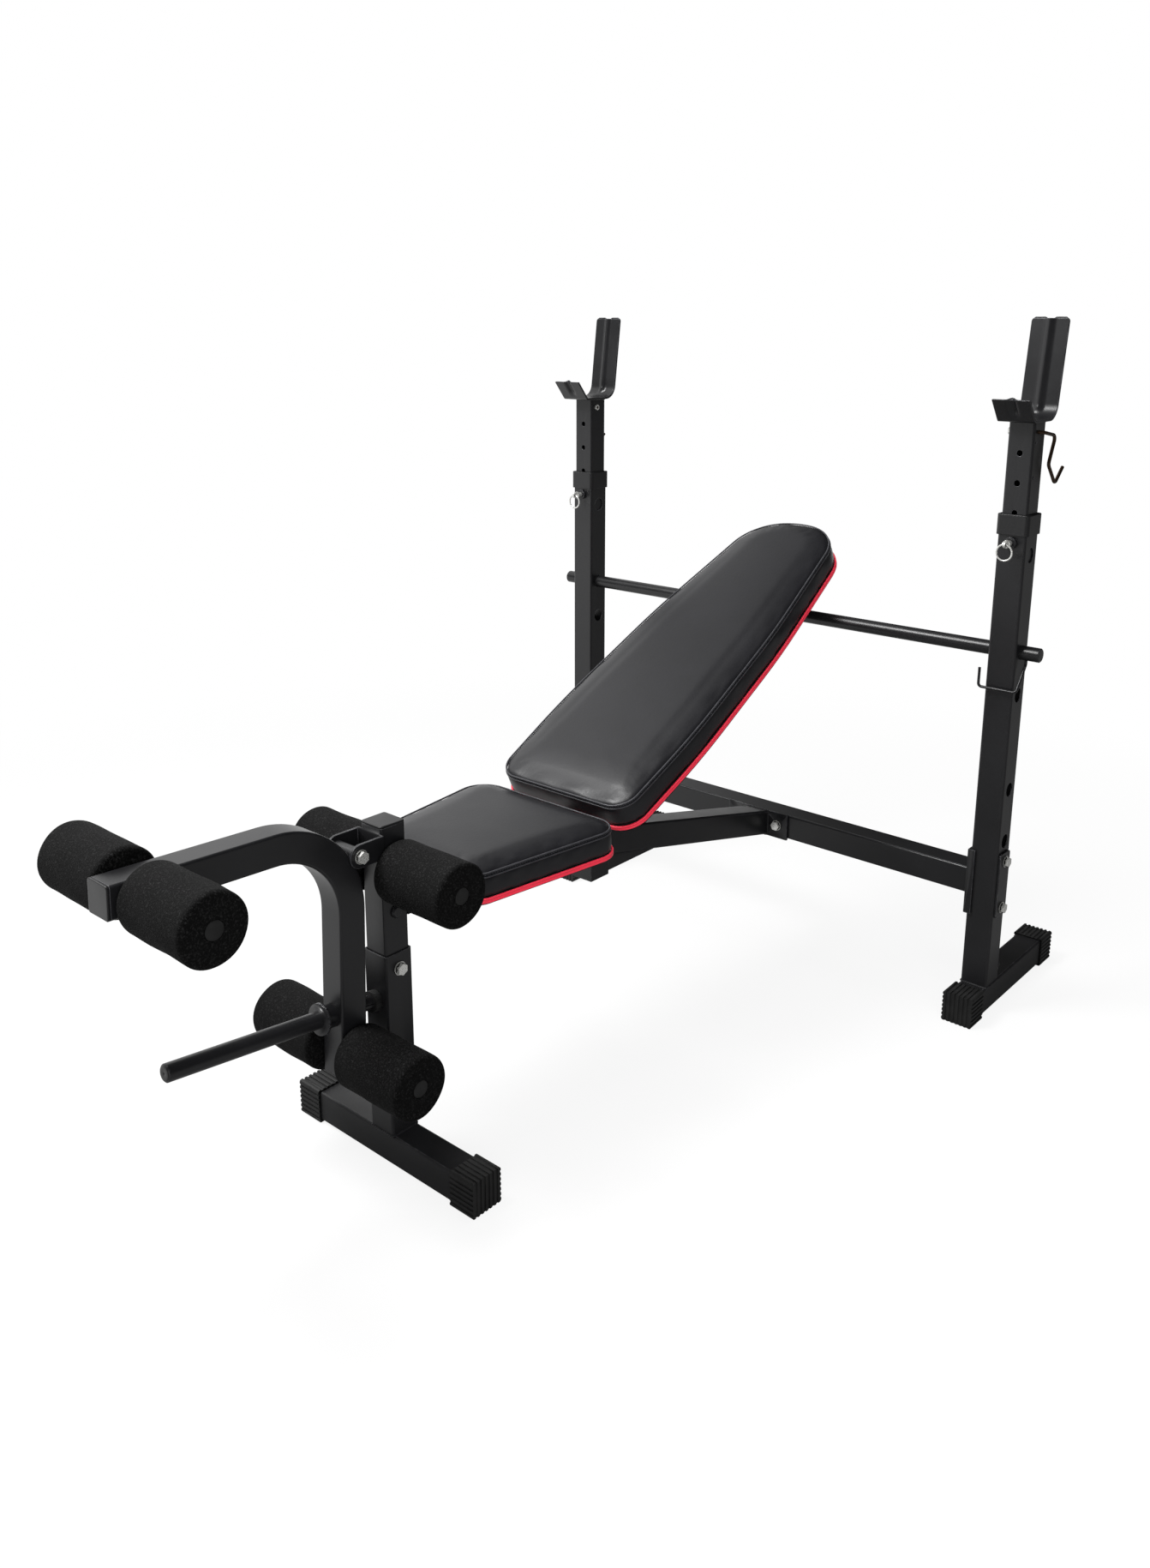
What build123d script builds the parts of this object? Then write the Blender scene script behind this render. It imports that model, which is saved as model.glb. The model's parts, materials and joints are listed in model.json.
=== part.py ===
"""Adjustable weight bench with bar uprights and a leg developer, in millimetres.

X runs to the right, Y from the leg developer to the uprights, Z up.
While the pieces are built, Y is zero at the uprights' axes.
"""
import math
import os

from build123d import *

# Square tubes
FRAME_TUBE = 50.0
INNER_TUBE = 45.0
TUBE_WALL = 2.0
TUBE_CORNER = 4.0
PLATE = 4.0
WELD_SINK = 0.5

WIRE_SIDES = 12

# Clearances
SEAT_GAP = 0.3
RUN_GAP = 0.05
PIN_GAP = 0.1
BAR_GAP = 0.4
COLLAR_GAP = 0.4
BOLT_GAP = 0.3

# Floor feet and their rubber caps
CAP = 58.0
CAP_LENGTH = 48.0
CAP_END = 4.0
CAP_RIBS = 7
CAP_GROOVE = 1.4
FOOT_FRONT = 89.0
FOOT_REAR = 275.0
FRONT_BAR_HALF = 199.0

# Uprights
UPRIGHT_X = 480.0
UPRIGHT_TOP = 925.0
COLLAR_HEIGHT = 35.0
COLLAR_LIP = 3.0
COLLAR_WALL = 3.2
BAR_HOLE_FLAT = 338.0
BAR_HOLE_LOW = 436.0
BAR_HOLE_MID = 611.0
BAR_HOLE_USED = 688.0
BAR_HOLE_HIGH = 858.0

# Inner posts and bar cradles
POST_BELOW_HOLES = 20.0
POST_ABOVE_HOLES = 54.0
CRADLE_WIDTH = 64.0
CRADLE_BACK = 164.0
CRADLE_FRONT_Y = -46.0
CRADLE_REAR_Y = 24.0
LIP_REACH = 29.0
LIP_RISE = 35.0
BACK_LEAN = 18.0
BACK_CORNER = 18.0
CRADLE_BEND = 9.0
BEAD_RADIUS = 7.0
BEAD_PROUD = 3.0
HOLE_PITCH = 50.0
HOLES_ABOVE = 3
HOLES_BELOW = 2
SIDE_HOLE_RADIUS = 3.0
SIDE_HOLE_Y = -13.0
SIDE_HOLE_DROP = 36.0
SIDE_HOLE_PITCH = 58.0

# Pull pins and rings
PIN_DROP = 45.0
PIN_RADIUS = 4.9
PIN_BOSS_RADIUS = 10.0
PIN_BOSS_LENGTH = 6.0
PIN_HEAD_RADIUS = 7.0
PIN_HEAD_LENGTH = 4.0
PIN_STROKE = 11.0
EYE_LENGTH = 11.0
EYE_HALF = 2.0
EYE_RADIUS = 2.3
RING_RADIUS = 13.5
RING_WIRE = 1.5

# Safety hooks
HOOK_WIRE = 3.0
HOOK_Y = -8.0
HOOK_DROP = 19.0
HOOK_OFF = 1.0
HOOK_BEND = 8.0
HOOK_NUT = 5.0

# Crossbeam
BEAM_Z = 255.0
BEAM_BOLT_PITCH = 90.0
END_HEIGHT = 124.0
END_FLANGE = 9.0
BACKING_WIDTH = 40.0
BACKING_CORNER = 6.0

# Spine
SPINE_ANGLE = 13.3
SEAT_RAIL = 20.0
HEEL_FRONT_Y = -587.0
HEEL_BOTTOM = 320.0
HEEL_BAND = 46.0
HEEL_PROUD = 4.0
DRAIN_RADIUS = 4.0
FLANGE = 5.0
FLANGE_HALF = 70.0
FLANGE_HEIGHT = 54.0
FLANGE_BOLT_X = 46.0

# Support bar and clip
BAR_RADIUS = 12.5
BAR_OVERHANG = 34.0
BAR_CHAMFER = 1.5
CLIP_WIRE = 2.5
CLIP_OUT = 9.0
CLIP_IN = 9.0
CLIP_FRONT = 8.0
CLIP_ENTRY = 20.0
CLIP_DROP = 64.0
CLIP_END = 34.0
CLIP_BEND = 6.0

# Front base and receiver post
POST_Y = -1014.0
LOWER_POST_TOP = 350.0
RECEIVER_BOTTOM = 300.0
RECEIVER_TOP = 548.0
CAP_PLATE = 3.0
PLUG_DEPTH = 12.0
POST_BOLT_Z = 325.0
BUTTON_BOLT_Z = 415.0
BUTTON_RADIUS = 10.0
BUTTON_HEIGHT = 5.0
SET_SCREW_RADIUS = 4.0

# Clevis and leg developer
EAR_INSIDE = 24.0
EAR_RADIUS = 17.5
PIVOT_REACH = 42.5
PIVOT_Z = 522.5
SLEEVE_RADIUS = 10.5
LEVER_TILT = 2.2
LEVER_BEND = 126.0
LEVER_ARM = 234.5
LEVER_LEG = 250.0
PIVOT_ANGLE = 31.2
LUG_WIDTH = 24.0
LUG_DROP = 34.0
PLUG_WALL = 4.0

# Roller bars and foam rollers
ROLLER_RADIUS = 47.5
ROLLER_INNER = 29.0
ROLLER_OUTER = 163.0
ROLLER_ROUND = 7.0
ROLLER_BAR_HALF = 159.0
ROLLER_BAR_WALL = 1.8
KNEE_BAR_Z = 481.0
ARM_BAR_BACK = 49.0
ARM_BAR_LOW = 4.0
LEG_BAR_UP = 34.0

# Weight plate post
PLATE_POST_RADIUS = 12.5
PLATE_POST_TILT = 7.1
PLATE_POST_DROP = 159.0
PLATE_POST_LENGTH = 290.0
STOP_RADIUS = 23.0
STOP_START = 42.0
STOP_THICK = 5.0
HUB_RADIUS = 17.0
STUB_RADIUS = 11.0
STUB_LENGTH = 46.0
BUMPER_RADIUS = 16.0

# Pads
SEAT_HEIGHT = 38.0
BACK_HEIGHT = 44.0
CROWN = 8.0
PIPING = 7.0
PIPING_PROUD = 2.5
PIPING_LAP = 1.0
BOARD = 12.0
SEAT_BOARD_INSET = 5.0
BACK_BOARD_INSET = 0.8
SEAT_TOP = 475.4
SEAT_FRONT_Y = -961.0
SEAT_BACK_Y = -657.0
SEAT_FRONT_HALF = 122.0
SEAT_BACK_HALF = 163.0
SEAT_CORNER = 46.0
BRACKET_Y_FRONT = -900.0
BRACKET_Y_REAR = -720.0
BRACKET_HALF = 100.0
BRACKET_DEPTH = 40.0
SCREW_X = 80.0

# Backrest
BACK_ANGLE = 26.5
BACK_Y = -637.0
BACK_LENGTH = 809.0
BACK_LOWER = -6.0
BACK_BOTTOM_HALF = 143.0
BACK_WIDE_HALF = 151.0
BACK_WIDE_AT = 190.0
BACK_SHOULDER_HALF = 138.0
BACK_SHOULDER_AT = 480.0
BACK_TOP_HALF = 99.0
BACK_TOP_RISE = 11.0
BACK_BOTTOM_CORNER = 44.0
BACK_SIDE_BEND = 1800.0
BACK_TOP_CORNER = 98.0
BACK_TOP_BEND = 150.0
RAIL_WIDTH = 25.0
RAIL_HEIGHT = 40.0
RAIL_END = 740.0
HINGE_U = 28.0
HINGE_OVERRUN = 17.5
EAR_GAP = 0.5
HINGE_EAR_RADIUS = 15.0
HINGE_EAR_DROP = 55.0
TIE = 20.0
TIE_LOW = 200.0
TIE_HIGH = 600.0
BACK_SCREW_LOW = 120.0
BACK_SCREW_HIGH = 520.0

# Fasteners
BOLT_RADIUS = 5.0
HEX_RADIUS = 9.2
HEAD_HEIGHT = 6.4
NUT_HEIGHT = 8.0
WASHER_RADIUS = 10.5
WASHER_THICK = 2.0
SCREW_RADIUS = 3.0
SCREW_HEAD_RADIUS = 6.5
SCREW_HEAD = 3.5
SCREW_BITE = 9.0

# Values that follow from the sizes above
FOOT_AXIS = CAP / 2
FOOT_TOP = FOOT_AXIS + FRAME_TUBE / 2
OUTER_X = UPRIGHT_X + FRAME_TUBE / 2
INNER_X = UPRIGHT_X - FRAME_TUBE / 2
FRONT_FACE = -FRAME_TUBE / 2
BAR_HALF = OUTER_X + BAR_OVERHANG
PIN_Z = UPRIGHT_TOP - PIN_DROP
INNER_BOTTOM = PIN_Z - HOLES_BELOW * HOLE_PITCH - POST_BELOW_HOLES
CRADLE_BASE = PIN_Z + HOLES_ABOVE * HOLE_PITCH + POST_ABOVE_HOLES
SIDE_HOLE_HIGH = CRADLE_BASE - SIDE_HOLE_DROP
HOOK_Z = CRADLE_BASE - HOOK_DROP
SEAT_BASE = SEAT_TOP - SEAT_HEIGHT - BOARD
SEAT_RAIL_TOP = SEAT_BASE - PLATE
SEAT_RAIL_LOW = SEAT_RAIL_TOP - SEAT_RAIL
BACK_STACK = BACK_HEIGHT + BOARD
RECEIVER_FRONT = POST_Y - INNER_TUBE / 2
RECEIVER_BACK = POST_Y + INNER_TUBE / 2
PIVOT_Y = RECEIVER_FRONT - PIVOT_REACH
BOLT_HOLE = BOLT_RADIUS + BOLT_GAP
RUN_HOLE = BOLT_RADIUS + RUN_GAP
RAIL_X = FRAME_TUBE / 2 + PLATE + EAR_GAP + RAIL_WIDTH / 2
RAIL_V = -BACK_STACK - RAIL_HEIGHT / 2
parts = {}


def square_tube(size, length):
    """Square tube along +Z from zero, with rounded corners."""
    outside = RectangleRounded(size, size, TUBE_CORNER)
    bore = size - 2 * TUBE_WALL
    return extrude(outside - RectangleRounded(bore, bore, TUBE_CORNER - TUBE_WALL), length)


def block(x0, x1, y0, y1, z0, z1):
    """Box between two corners."""
    middle = Pos((x0 + x1) / 2, (y0 + y1) / 2, (z0 + z1) / 2)
    return middle * Box(x1 - x0, y1 - y0, z1 - z0)


def rod_x(radius, x0, x1, y, z):
    """Round rod along X."""
    return Pos((x0 + x1) / 2, y, z) * Rot(0, 90, 0) * Cylinder(radius, x1 - x0)


def rod_y(radius, y0, y1, x, z):
    """Round rod along Y."""
    return Pos(x, (y0 + y1) / 2, z) * Rot(90, 0, 0) * Cylinder(radius, y1 - y0)


def rod_z(radius, z0, z1, x, y):
    """Round rod along Z."""
    return Pos(x, y, (z0 + z1) / 2) * Cylinder(radius, z1 - z0)


def other_side(shape):
    """The same piece on the left of the bench."""
    return mirror(shape, about=Plane.YZ)


def wire(points, bend, radius):
    """Wire bent along points, with WIRE_SIDES flats that stay inside its round."""
    path = FilletPolyline(*points, radius=bend)
    section = Plane(origin=path @ 0, z_dir=path % 0) * RegularPolygon(radius, WIRE_SIDES)
    return sweep(section, path=path)


def hex_bolt(length):
    """Hexagon bolt pointing down -Z with the head above zero."""
    head = extrude(RegularPolygon(HEX_RADIUS, 6), HEAD_HEIGHT)
    return head + Pos(0, 0, -length / 2) * Cylinder(BOLT_RADIUS, length)


def hex_nut():
    """Hexagon nut standing on zero."""
    return extrude(RegularPolygon(HEX_RADIUS, 6) - Circle(RUN_HOLE), NUT_HEIGHT)


def washer():
    """Flat washer standing on zero."""
    return extrude(Circle(WASHER_RADIUS) - Circle(BOLT_HOLE), WASHER_THICK)


def to_right(x, y, z):
    """Places a piece made along +Z so that it points along +X."""
    return Pos(x, y, z) * Rot(0, 90, 0)


def to_left(x, y, z):
    """Places a piece made along +Z so that it points along -X."""
    return Pos(x, y, z) * Rot(0, -90, 0)


def to_front(x, y, z):
    """Places a piece made along +Z so that it points along -Y."""
    return Pos(x, y, z) * Rot(90, 0, 0)


def to_rear(x, y, z):
    """Places a piece made along +Z so that it points along +Y."""
    return Pos(x, y, z) * Rot(-90, 0, 0)


bolts = []
washers = []
nuts = []


def through_x(x0, x1, y, z):
    """Bolt along X with its head and washer at x1 and its nut at x0."""
    bolts.append(to_right(x1 + WASHER_THICK, y, z) * hex_bolt(x1 - x0 + WASHER_THICK + NUT_HEIGHT))
    washers.append(to_right(x1, y, z) * washer())
    nuts.append(to_left(x0, y, z) * hex_nut())


# Rubber foot cap, with ribs along the tube and upright ribs on the end
cap_pitch = CAP / CAP_RIBS
cap_bore = FRAME_TUBE + 2 * SEAT_GAP
cap_body = extrude(RectangleRounded(CAP, CAP, TUBE_CORNER), CAP_LENGTH)
cap_body -= Pos(0, 0, CAP_END) * extrude(Rectangle(cap_bore, cap_bore), CAP_LENGTH)
groove_side = Box(cap_pitch / 2, 2 * CAP_GROOVE, 2 * CAP_LENGTH)
groove_end = Box(cap_pitch / 2, 2 * CAP, 2 * CAP_GROOVE)
cuts = []
for rib in range(CAP_RIBS - 1):
    across = (rib - (CAP_RIBS - 2) / 2) * cap_pitch
    cuts.append(Pos(across, CAP / 2, 0) * groove_side)
    cuts.append(Pos(CAP / 2, across, 0) * Rot(0, 0, 90) * groove_side)
    cuts.append(Pos(-CAP / 2, across, 0) * Rot(0, 0, 90) * groove_side)
    cuts.append(Pos(across, 0, 0) * groove_end)
cap_body -= cuts
caps = []
for side in (-1, 1):
    caps.append(Pos(side * UPRIGHT_X, -FOOT_FRONT, FOOT_AXIS) * Rot(0, 0, 180) * Rot(90, 0, 0) * cap_body)
    caps.append(Pos(side * UPRIGHT_X, FOOT_REAR, FOOT_AXIS) * Rot(90, 0, 0) * cap_body)
    turn = Rot(0, 0, -side * 90) * Rot(90, 0, 0)
    caps.append(Pos(side * FRONT_BAR_HALF, POST_Y, FOOT_AXIS) * turn * cap_body)
parts["foot_caps"] = Compound(caps)

# Upright: column on the front of its floor foot, drilled for bar, bolts and pin
foot_length = FOOT_FRONT + FOOT_REAR - 2 * CAP_END
column = Pos(UPRIGHT_X, 0, FOOT_TOP) * square_tube(FRAME_TUBE, UPRIGHT_TOP - FOOT_TOP)
foot = to_rear(UPRIGHT_X, -FOOT_FRONT + CAP_END, FOOT_AXIS) * square_tube(FRAME_TUBE, foot_length)
upright = column + foot
bar_holes = (BAR_HOLE_FLAT, BAR_HOLE_LOW, BAR_HOLE_MID, BAR_HOLE_USED, BAR_HOLE_HIGH)
for height in bar_holes:
    upright -= rod_x(BAR_RADIUS + BAR_GAP, INNER_X - PLATE, OUTER_X + PLATE, 0, height)
beam_bolts = (BEAM_Z - BEAM_BOLT_PITCH / 2, BEAM_Z + BEAM_BOLT_PITCH / 2)
for height in beam_bolts:
    upright -= rod_x(BOLT_HOLE, INNER_X - PLATE, OUTER_X + PLATE, 0, height)
upright -= rod_y(PIN_RADIUS + BOLT_GAP, FRONT_FACE - PLATE, FRONT_FACE + 2 * TUBE_WALL, UPRIGHT_X, PIN_Z)
parts["upright_right"] = upright
parts["upright_left"] = other_side(upright)

# Plastic collar with a lip over the column's top
collar_size = FRAME_TUBE + 2 * (SEAT_GAP + COLLAR_WALL)
collar_bore = FRAME_TUBE + 2 * SEAT_GAP
lip_bore = INNER_TUBE + 2 * COLLAR_GAP
collar = extrude(RectangleRounded(collar_size, collar_size, TUBE_CORNER + COLLAR_WALL), COLLAR_HEIGHT)
collar -= extrude(RectangleRounded(collar_bore, collar_bore, TUBE_CORNER), COLLAR_HEIGHT - COLLAR_LIP)
collar -= extrude(RectangleRounded(lip_bore, lip_bore, TUBE_CORNER), COLLAR_HEIGHT)
collar = chamfer(collar.faces().sort_by(Axis.Z)[-1].outer_wire().edges(), 1.0)
collar = Pos(UPRIGHT_X, 0, UPRIGHT_TOP + COLLAR_LIP - COLLAR_HEIGHT) * collar
parts["collars"] = Compound([collar, other_side(collar)])

# Boss of the pull pin on the column's front face
boss_front = FRONT_FACE - PIN_BOSS_LENGTH
boss = rod_y(PIN_BOSS_RADIUS, boss_front, FRONT_FACE, UPRIGHT_X, PIN_Z)
boss -= rod_y(PIN_RADIUS + PIN_GAP, boss_front, FRONT_FACE, UPRIGHT_X, PIN_Z)
parts["pin_bosses"] = Compound([boss, other_side(boss)])

# Pull pin, drawn just clear of the inner post, with a flat eye for its ring
pin_tip = FRONT_FACE + TUBE_WALL - SEAT_GAP
head_back = boss_front - PIN_STROKE
head_front = head_back - PIN_HEAD_LENGTH
eye_y = head_front - EYE_LENGTH / 2
pin = rod_y(PIN_RADIUS, head_back, pin_tip, UPRIGHT_X, PIN_Z)
pin += rod_y(PIN_HEAD_RADIUS, head_front, head_back, UPRIGHT_X, PIN_Z)
eye_end = head_front - EYE_LENGTH
eye = block(UPRIGHT_X - EYE_HALF, UPRIGHT_X + EYE_HALF, eye_y, head_front,
            PIN_Z - EYE_LENGTH / 2, PIN_Z + EYE_LENGTH / 2)
eye += rod_x(EYE_LENGTH / 2, UPRIGHT_X - EYE_HALF, UPRIGHT_X + EYE_HALF, eye_y, PIN_Z)
pin += eye
pin -= rod_x(EYE_RADIUS, UPRIGHT_X - PLATE, UPRIGHT_X + PLATE, eye_y, PIN_Z)
parts["pin_right"] = pin
parts["pin_left"] = other_side(pin)

# Ring hanging in the pin's eye
ring = revolve(Pos(RING_RADIUS, 0, 0) * RegularPolygon(RING_WIRE, WIRE_SIDES), Axis.Y)
ring = Pos(UPRIGHT_X, eye_y, PIN_Z - RING_RADIUS) * ring
parts["ring_right"] = ring
parts["ring_left"] = other_side(ring)

# Inner post with its bent bar cradle; the cradle is swept along its side view
tube_top = CRADLE_BASE - PLATE / 2
post = Pos(UPRIGHT_X, 0, INNER_BOTTOM) * square_tube(INNER_TUBE, tube_top - INNER_BOTTOM)
lip_top = (UPRIGHT_X, CRADLE_FRONT_Y - LIP_REACH, CRADLE_BASE + LIP_RISE)
lip_foot = (UPRIGHT_X, CRADLE_FRONT_Y, CRADLE_BASE)
base_end = (UPRIGHT_X, CRADLE_REAR_Y, CRADLE_BASE)
back_foot = (UPRIGHT_X, CRADLE_REAR_Y + BACK_CORNER, CRADLE_BASE + BACK_CORNER)
back_top = (UPRIGHT_X, CRADLE_REAR_Y + BACK_CORNER + BACK_LEAN, CRADLE_BASE + CRADLE_BACK)
cradle_path = FilletPolyline(lip_top, lip_foot, base_end, back_foot, back_top, radius=CRADLE_BEND)
cradle_section = Plane(origin=lip_top, x_dir=(1, 0, 0), z_dir=cradle_path % 0)
cradle = sweep(cradle_section * Rectangle(CRADLE_WIDTH, PLATE), path=cradle_path)


def bead(low, high, toward, bare):
    """Pressed bead on the cradle's inside, between two points of its plate, short by bare in all."""
    run = Vector(*high) - Vector(*low)
    face = Plane(origin=Vector(*low) + run / 2, x_dir=(1, 0, 0), z_dir=run.normalized())
    flip = 1 if face.y_dir.Y * toward > 0 else -1
    shift = flip * (PLATE / 2 + BEAD_PROUD - BEAD_RADIUS)
    length = run.length - bare
    rib = Pos(0, shift, 0) * Cylinder(BEAD_RADIUS, length)
    rib += Pos(0, shift, length / 2) * Sphere(BEAD_RADIUS)
    rib += Pos(0, shift, -length / 2) * Sphere(BEAD_RADIUS)
    keep = Pos(0, flip * BEAD_RADIUS, 0) * Box(4 * BEAD_RADIUS, 2 * BEAD_RADIUS, 2 * run.length)
    return face * (rib & keep)


cradle += bead(back_foot, back_top, -1, 4 * CRADLE_BEND)
cradle += bead(lip_foot, lip_top, 1, 4 * BEAD_RADIUS)
post += cradle
for step in range(-HOLES_BELOW, HOLES_ABOVE + 1):
    height = PIN_Z + step * HOLE_PITCH
    post -= rod_y(PIN_RADIUS + BOLT_GAP, -INNER_TUBE, 0, UPRIGHT_X, height)
for height in (SIDE_HOLE_HIGH - SIDE_HOLE_PITCH, SIDE_HOLE_HIGH):
    post -= rod_x(SIDE_HOLE_RADIUS, UPRIGHT_X, OUTER_X, SIDE_HOLE_Y, height)
hook_hole = HOOK_WIRE + RUN_GAP
post -= rod_x(hook_hole, INNER_X, OUTER_X, HOOK_Y, HOOK_Z)
parts["inner_post_right"] = post
parts["inner_post_left"] = other_side(post)

# Safety hook: wire through the inner post, bent outside it, with a nut inside
hook_x = UPRIGHT_X + collar_size / 2 + HOOK_OFF + HOOK_WIRE
hook_start = UPRIGHT_X - INNER_TUBE / 2 - HOOK_NUT
hook = wire([
    (hook_start, HOOK_Y, HOOK_Z),
    (hook_x, HOOK_Y, HOOK_Z),
    (hook_x, HOOK_Y + 50, HOOK_Z - 8),
    (hook_x, HOOK_Y + 30, HOOK_Z - 55),
    (hook_x, HOOK_Y + 65, HOOK_Z - 90),
    (hook_x, HOOK_Y + 94, HOOK_Z - 64),
], HOOK_BEND, HOOK_WIRE)
parts["hook_right"] = hook
parts["hook_left"] = other_side(hook)
nut_face = UPRIGHT_X - INNER_TUBE / 2 - SEAT_GAP
hook_nut = extrude(RegularPolygon(HOOK_WIRE + 3, 6) - Circle(HOOK_WIRE + RUN_GAP), HOOK_NUT - SEAT_GAP)
hook_nut = to_left(nut_face, HOOK_Y, HOOK_Z) * hook_nut
parts["hook_nut_right"] = hook_nut
parts["hook_nut_left"] = other_side(hook_nut)

# Crossbeam with a channel end that grips each column
web_outer = INNER_X - SEAT_GAP
web_inner = web_outer - PLATE
grip = FRAME_TUBE / 2 + SEAT_GAP
low_z = BEAM_Z - END_HEIGHT / 2
high_z = BEAM_Z + END_HEIGHT / 2
beam_tube = to_right(-web_inner, 0, BEAM_Z) * square_tube(FRAME_TUBE, 2 * web_inner)
channel = block(web_inner, web_outer, -grip - PLATE, grip + PLATE, low_z, high_z)
channel += block(web_inner, INNER_X + END_FLANGE, -grip - PLATE, -grip, low_z, high_z)
channel += block(web_inner, INNER_X + END_FLANGE, grip, grip + PLATE, low_z, high_z)
for height in beam_bolts:
    channel -= rod_x(BOLT_HOLE, web_inner - PLATE, INNER_X, 0, height)
beam = beam_tube + channel + other_side(channel)
for side in (-1, 1):
    beam -= rod_y(BOLT_HOLE, -FRAME_TUBE, FRAME_TUBE, side * FLANGE_BOLT_X, BEAM_Z)
parts["crossbeam"] = beam

# Backing plate under the bolt heads
backing = extrude(RectangleRounded(BACKING_WIDTH, END_HEIGHT, BACKING_CORNER), PLATE)
for height in beam_bolts:
    backing -= rod_z(BOLT_HOLE, -PLATE, 2 * PLATE, 0, height - BEAM_Z)
backing = Plane(origin=(OUTER_X, 0, BEAM_Z), x_dir=(0, 1, 0), z_dir=(1, 0, 0)) * backing
parts["backing_plates"] = Compound([backing, other_side(backing)])
for height in beam_bolts:
    through_x(web_inner, OUTER_X + PLATE, 0, height)
bolts += [other_side(item) for item in bolts]
washers += [other_side(item) for item in washers]
nuts += [other_side(item) for item in nuts]

# Spine: straight tube rising from the crossbeam's flange to a flat rail under the seat
rise = math.radians(SPINE_ANGLE)
spine_y = FRONT_FACE - FLANGE
spine_run = (SEAT_RAIL_LOW - BEAM_Z + FRAME_TUBE) / math.sin(rise)
spine_at = Plane(origin=(0, spine_y, BEAM_Z), x_dir=(1, 0, 0), z_dir=(0, -math.cos(rise), math.sin(rise)))
spine = spine_at * Pos(0, 0, -FRAME_TUBE) * square_tube(FRAME_TUBE, spine_run + FRAME_TUBE)
spine -= block(-FRAME_TUBE, FRAME_TUBE, spine_y, FRAME_TUBE, 0, 2 * BEAM_Z)
spine -= block(-FRAME_TUBE, FRAME_TUBE, RECEIVER_BACK, spine_y, SEAT_RAIL_LOW, 2 * SEAT_TOP)


def tube_side(y, side):
    """Height of the spine's upper (1) or lower (-1) face at y."""
    return BEAM_Z + (spine_y - y) * math.tan(rise) + side * FRAME_TUBE / 2 / math.cos(rise)


# Heel: folded wedge that stiffens the spine from below, with a band round its blunt end
heel_top = tube_side(HEEL_FRONT_Y, -1) + TUBE_WALL / 2
heel_rear_y = HEEL_FRONT_Y + (heel_top - HEEL_BOTTOM) / math.tan(rise)
heel_half = FRAME_TUBE / 2
heel_side = Plane(origin=(-heel_half, 0, 0), x_dir=(0, 1, 0), z_dir=(1, 0, 0))
heel = heel_side * extrude(Polygon((HEEL_FRONT_Y, HEEL_BOTTOM), (heel_rear_y, HEEL_BOTTOM),
                                   (HEEL_FRONT_Y, heel_top), align=None), FRAME_TUBE)
heel += block(-heel_half - HEEL_PROUD, heel_half + HEEL_PROUD, HEEL_FRONT_Y, HEEL_FRONT_Y + HEEL_BAND,
              HEEL_BOTTOM - HEEL_PROUD, tube_side(HEEL_FRONT_Y + HEEL_BAND, -1) - HEEL_PROUD)
heel_inside = Polygon((HEEL_FRONT_Y + PLATE, HEEL_BOTTOM + TUBE_WALL),
                      (heel_rear_y - FRAME_TUBE / 2, HEEL_BOTTOM + TUBE_WALL),
                      (HEEL_FRONT_Y + PLATE, heel_top - PLATE), align=None)
heel -= heel_side * Pos(0, 0, TUBE_WALL) * extrude(heel_inside, FRAME_TUBE - 2 * TUBE_WALL)
heel -= rod_z(DRAIN_RADIUS, 0, HEEL_BOTTOM + PLATE, 0, HEEL_FRONT_Y + 2 * HEEL_BAND)
spine += heel
spine -= rod_z(DRAIN_RADIUS, 0, BEAM_Z, 0, spine_y - FRAME_TUBE)

# Flat rail that carries the seat from the spine to the receiver post
rail_rear_y = spine_y - (SEAT_RAIL_LOW - tube_side(spine_y, 1)) / math.tan(rise)
rail_bore = RectangleRounded(FRAME_TUBE - 2 * TUBE_WALL, SEAT_RAIL - 2 * TUBE_WALL, TUBE_CORNER - TUBE_WALL)
seat_rail = extrude(RectangleRounded(FRAME_TUBE, SEAT_RAIL, TUBE_CORNER) - rail_bore, rail_rear_y - RECEIVER_BACK)
spine += to_front(0, rail_rear_y, SEAT_RAIL_TOP - SEAT_RAIL / 2) * seat_rail
flange = block(-FLANGE_HALF, FLANGE_HALF, FRONT_FACE - FLANGE, FRONT_FACE,
               BEAM_Z - FLANGE_HEIGHT / 2, BEAM_Z + FLANGE_HEIGHT / 2)
for side in (-1, 1):
    flange -= rod_y(BOLT_HOLE, FRONT_FACE - 2 * FLANGE, 0, side * FLANGE_BOLT_X, BEAM_Z)
    bolt_y = FRONT_FACE - FLANGE
    bolt_run = FRAME_TUBE + FLANGE + WASHER_THICK + NUT_HEIGHT
    bolts.append(to_front(side * FLANGE_BOLT_X, bolt_y - WASHER_THICK, BEAM_Z) * hex_bolt(bolt_run))
    washers.append(to_front(side * FLANGE_BOLT_X, bolt_y, BEAM_Z) * washer())
    nuts.append(to_rear(side * FLANGE_BOLT_X, FRAME_TUBE / 2, BEAM_Z) * hex_nut())
spine += flange
bracket_low = SEAT_RAIL_TOP
bracket_high = SEAT_BASE
for bracket_y in (BRACKET_Y_FRONT, BRACKET_Y_REAR):
    bracket = block(-BRACKET_HALF, BRACKET_HALF, bracket_y - BRACKET_DEPTH / 2, bracket_y + BRACKET_DEPTH / 2,
                    bracket_low, bracket_high)
    for side in (-1, 1):
        bracket -= rod_z(SCREW_RADIUS + RUN_GAP, bracket_low, bracket_high, side * SCREW_X, bracket_y)
    spine += bracket

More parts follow.
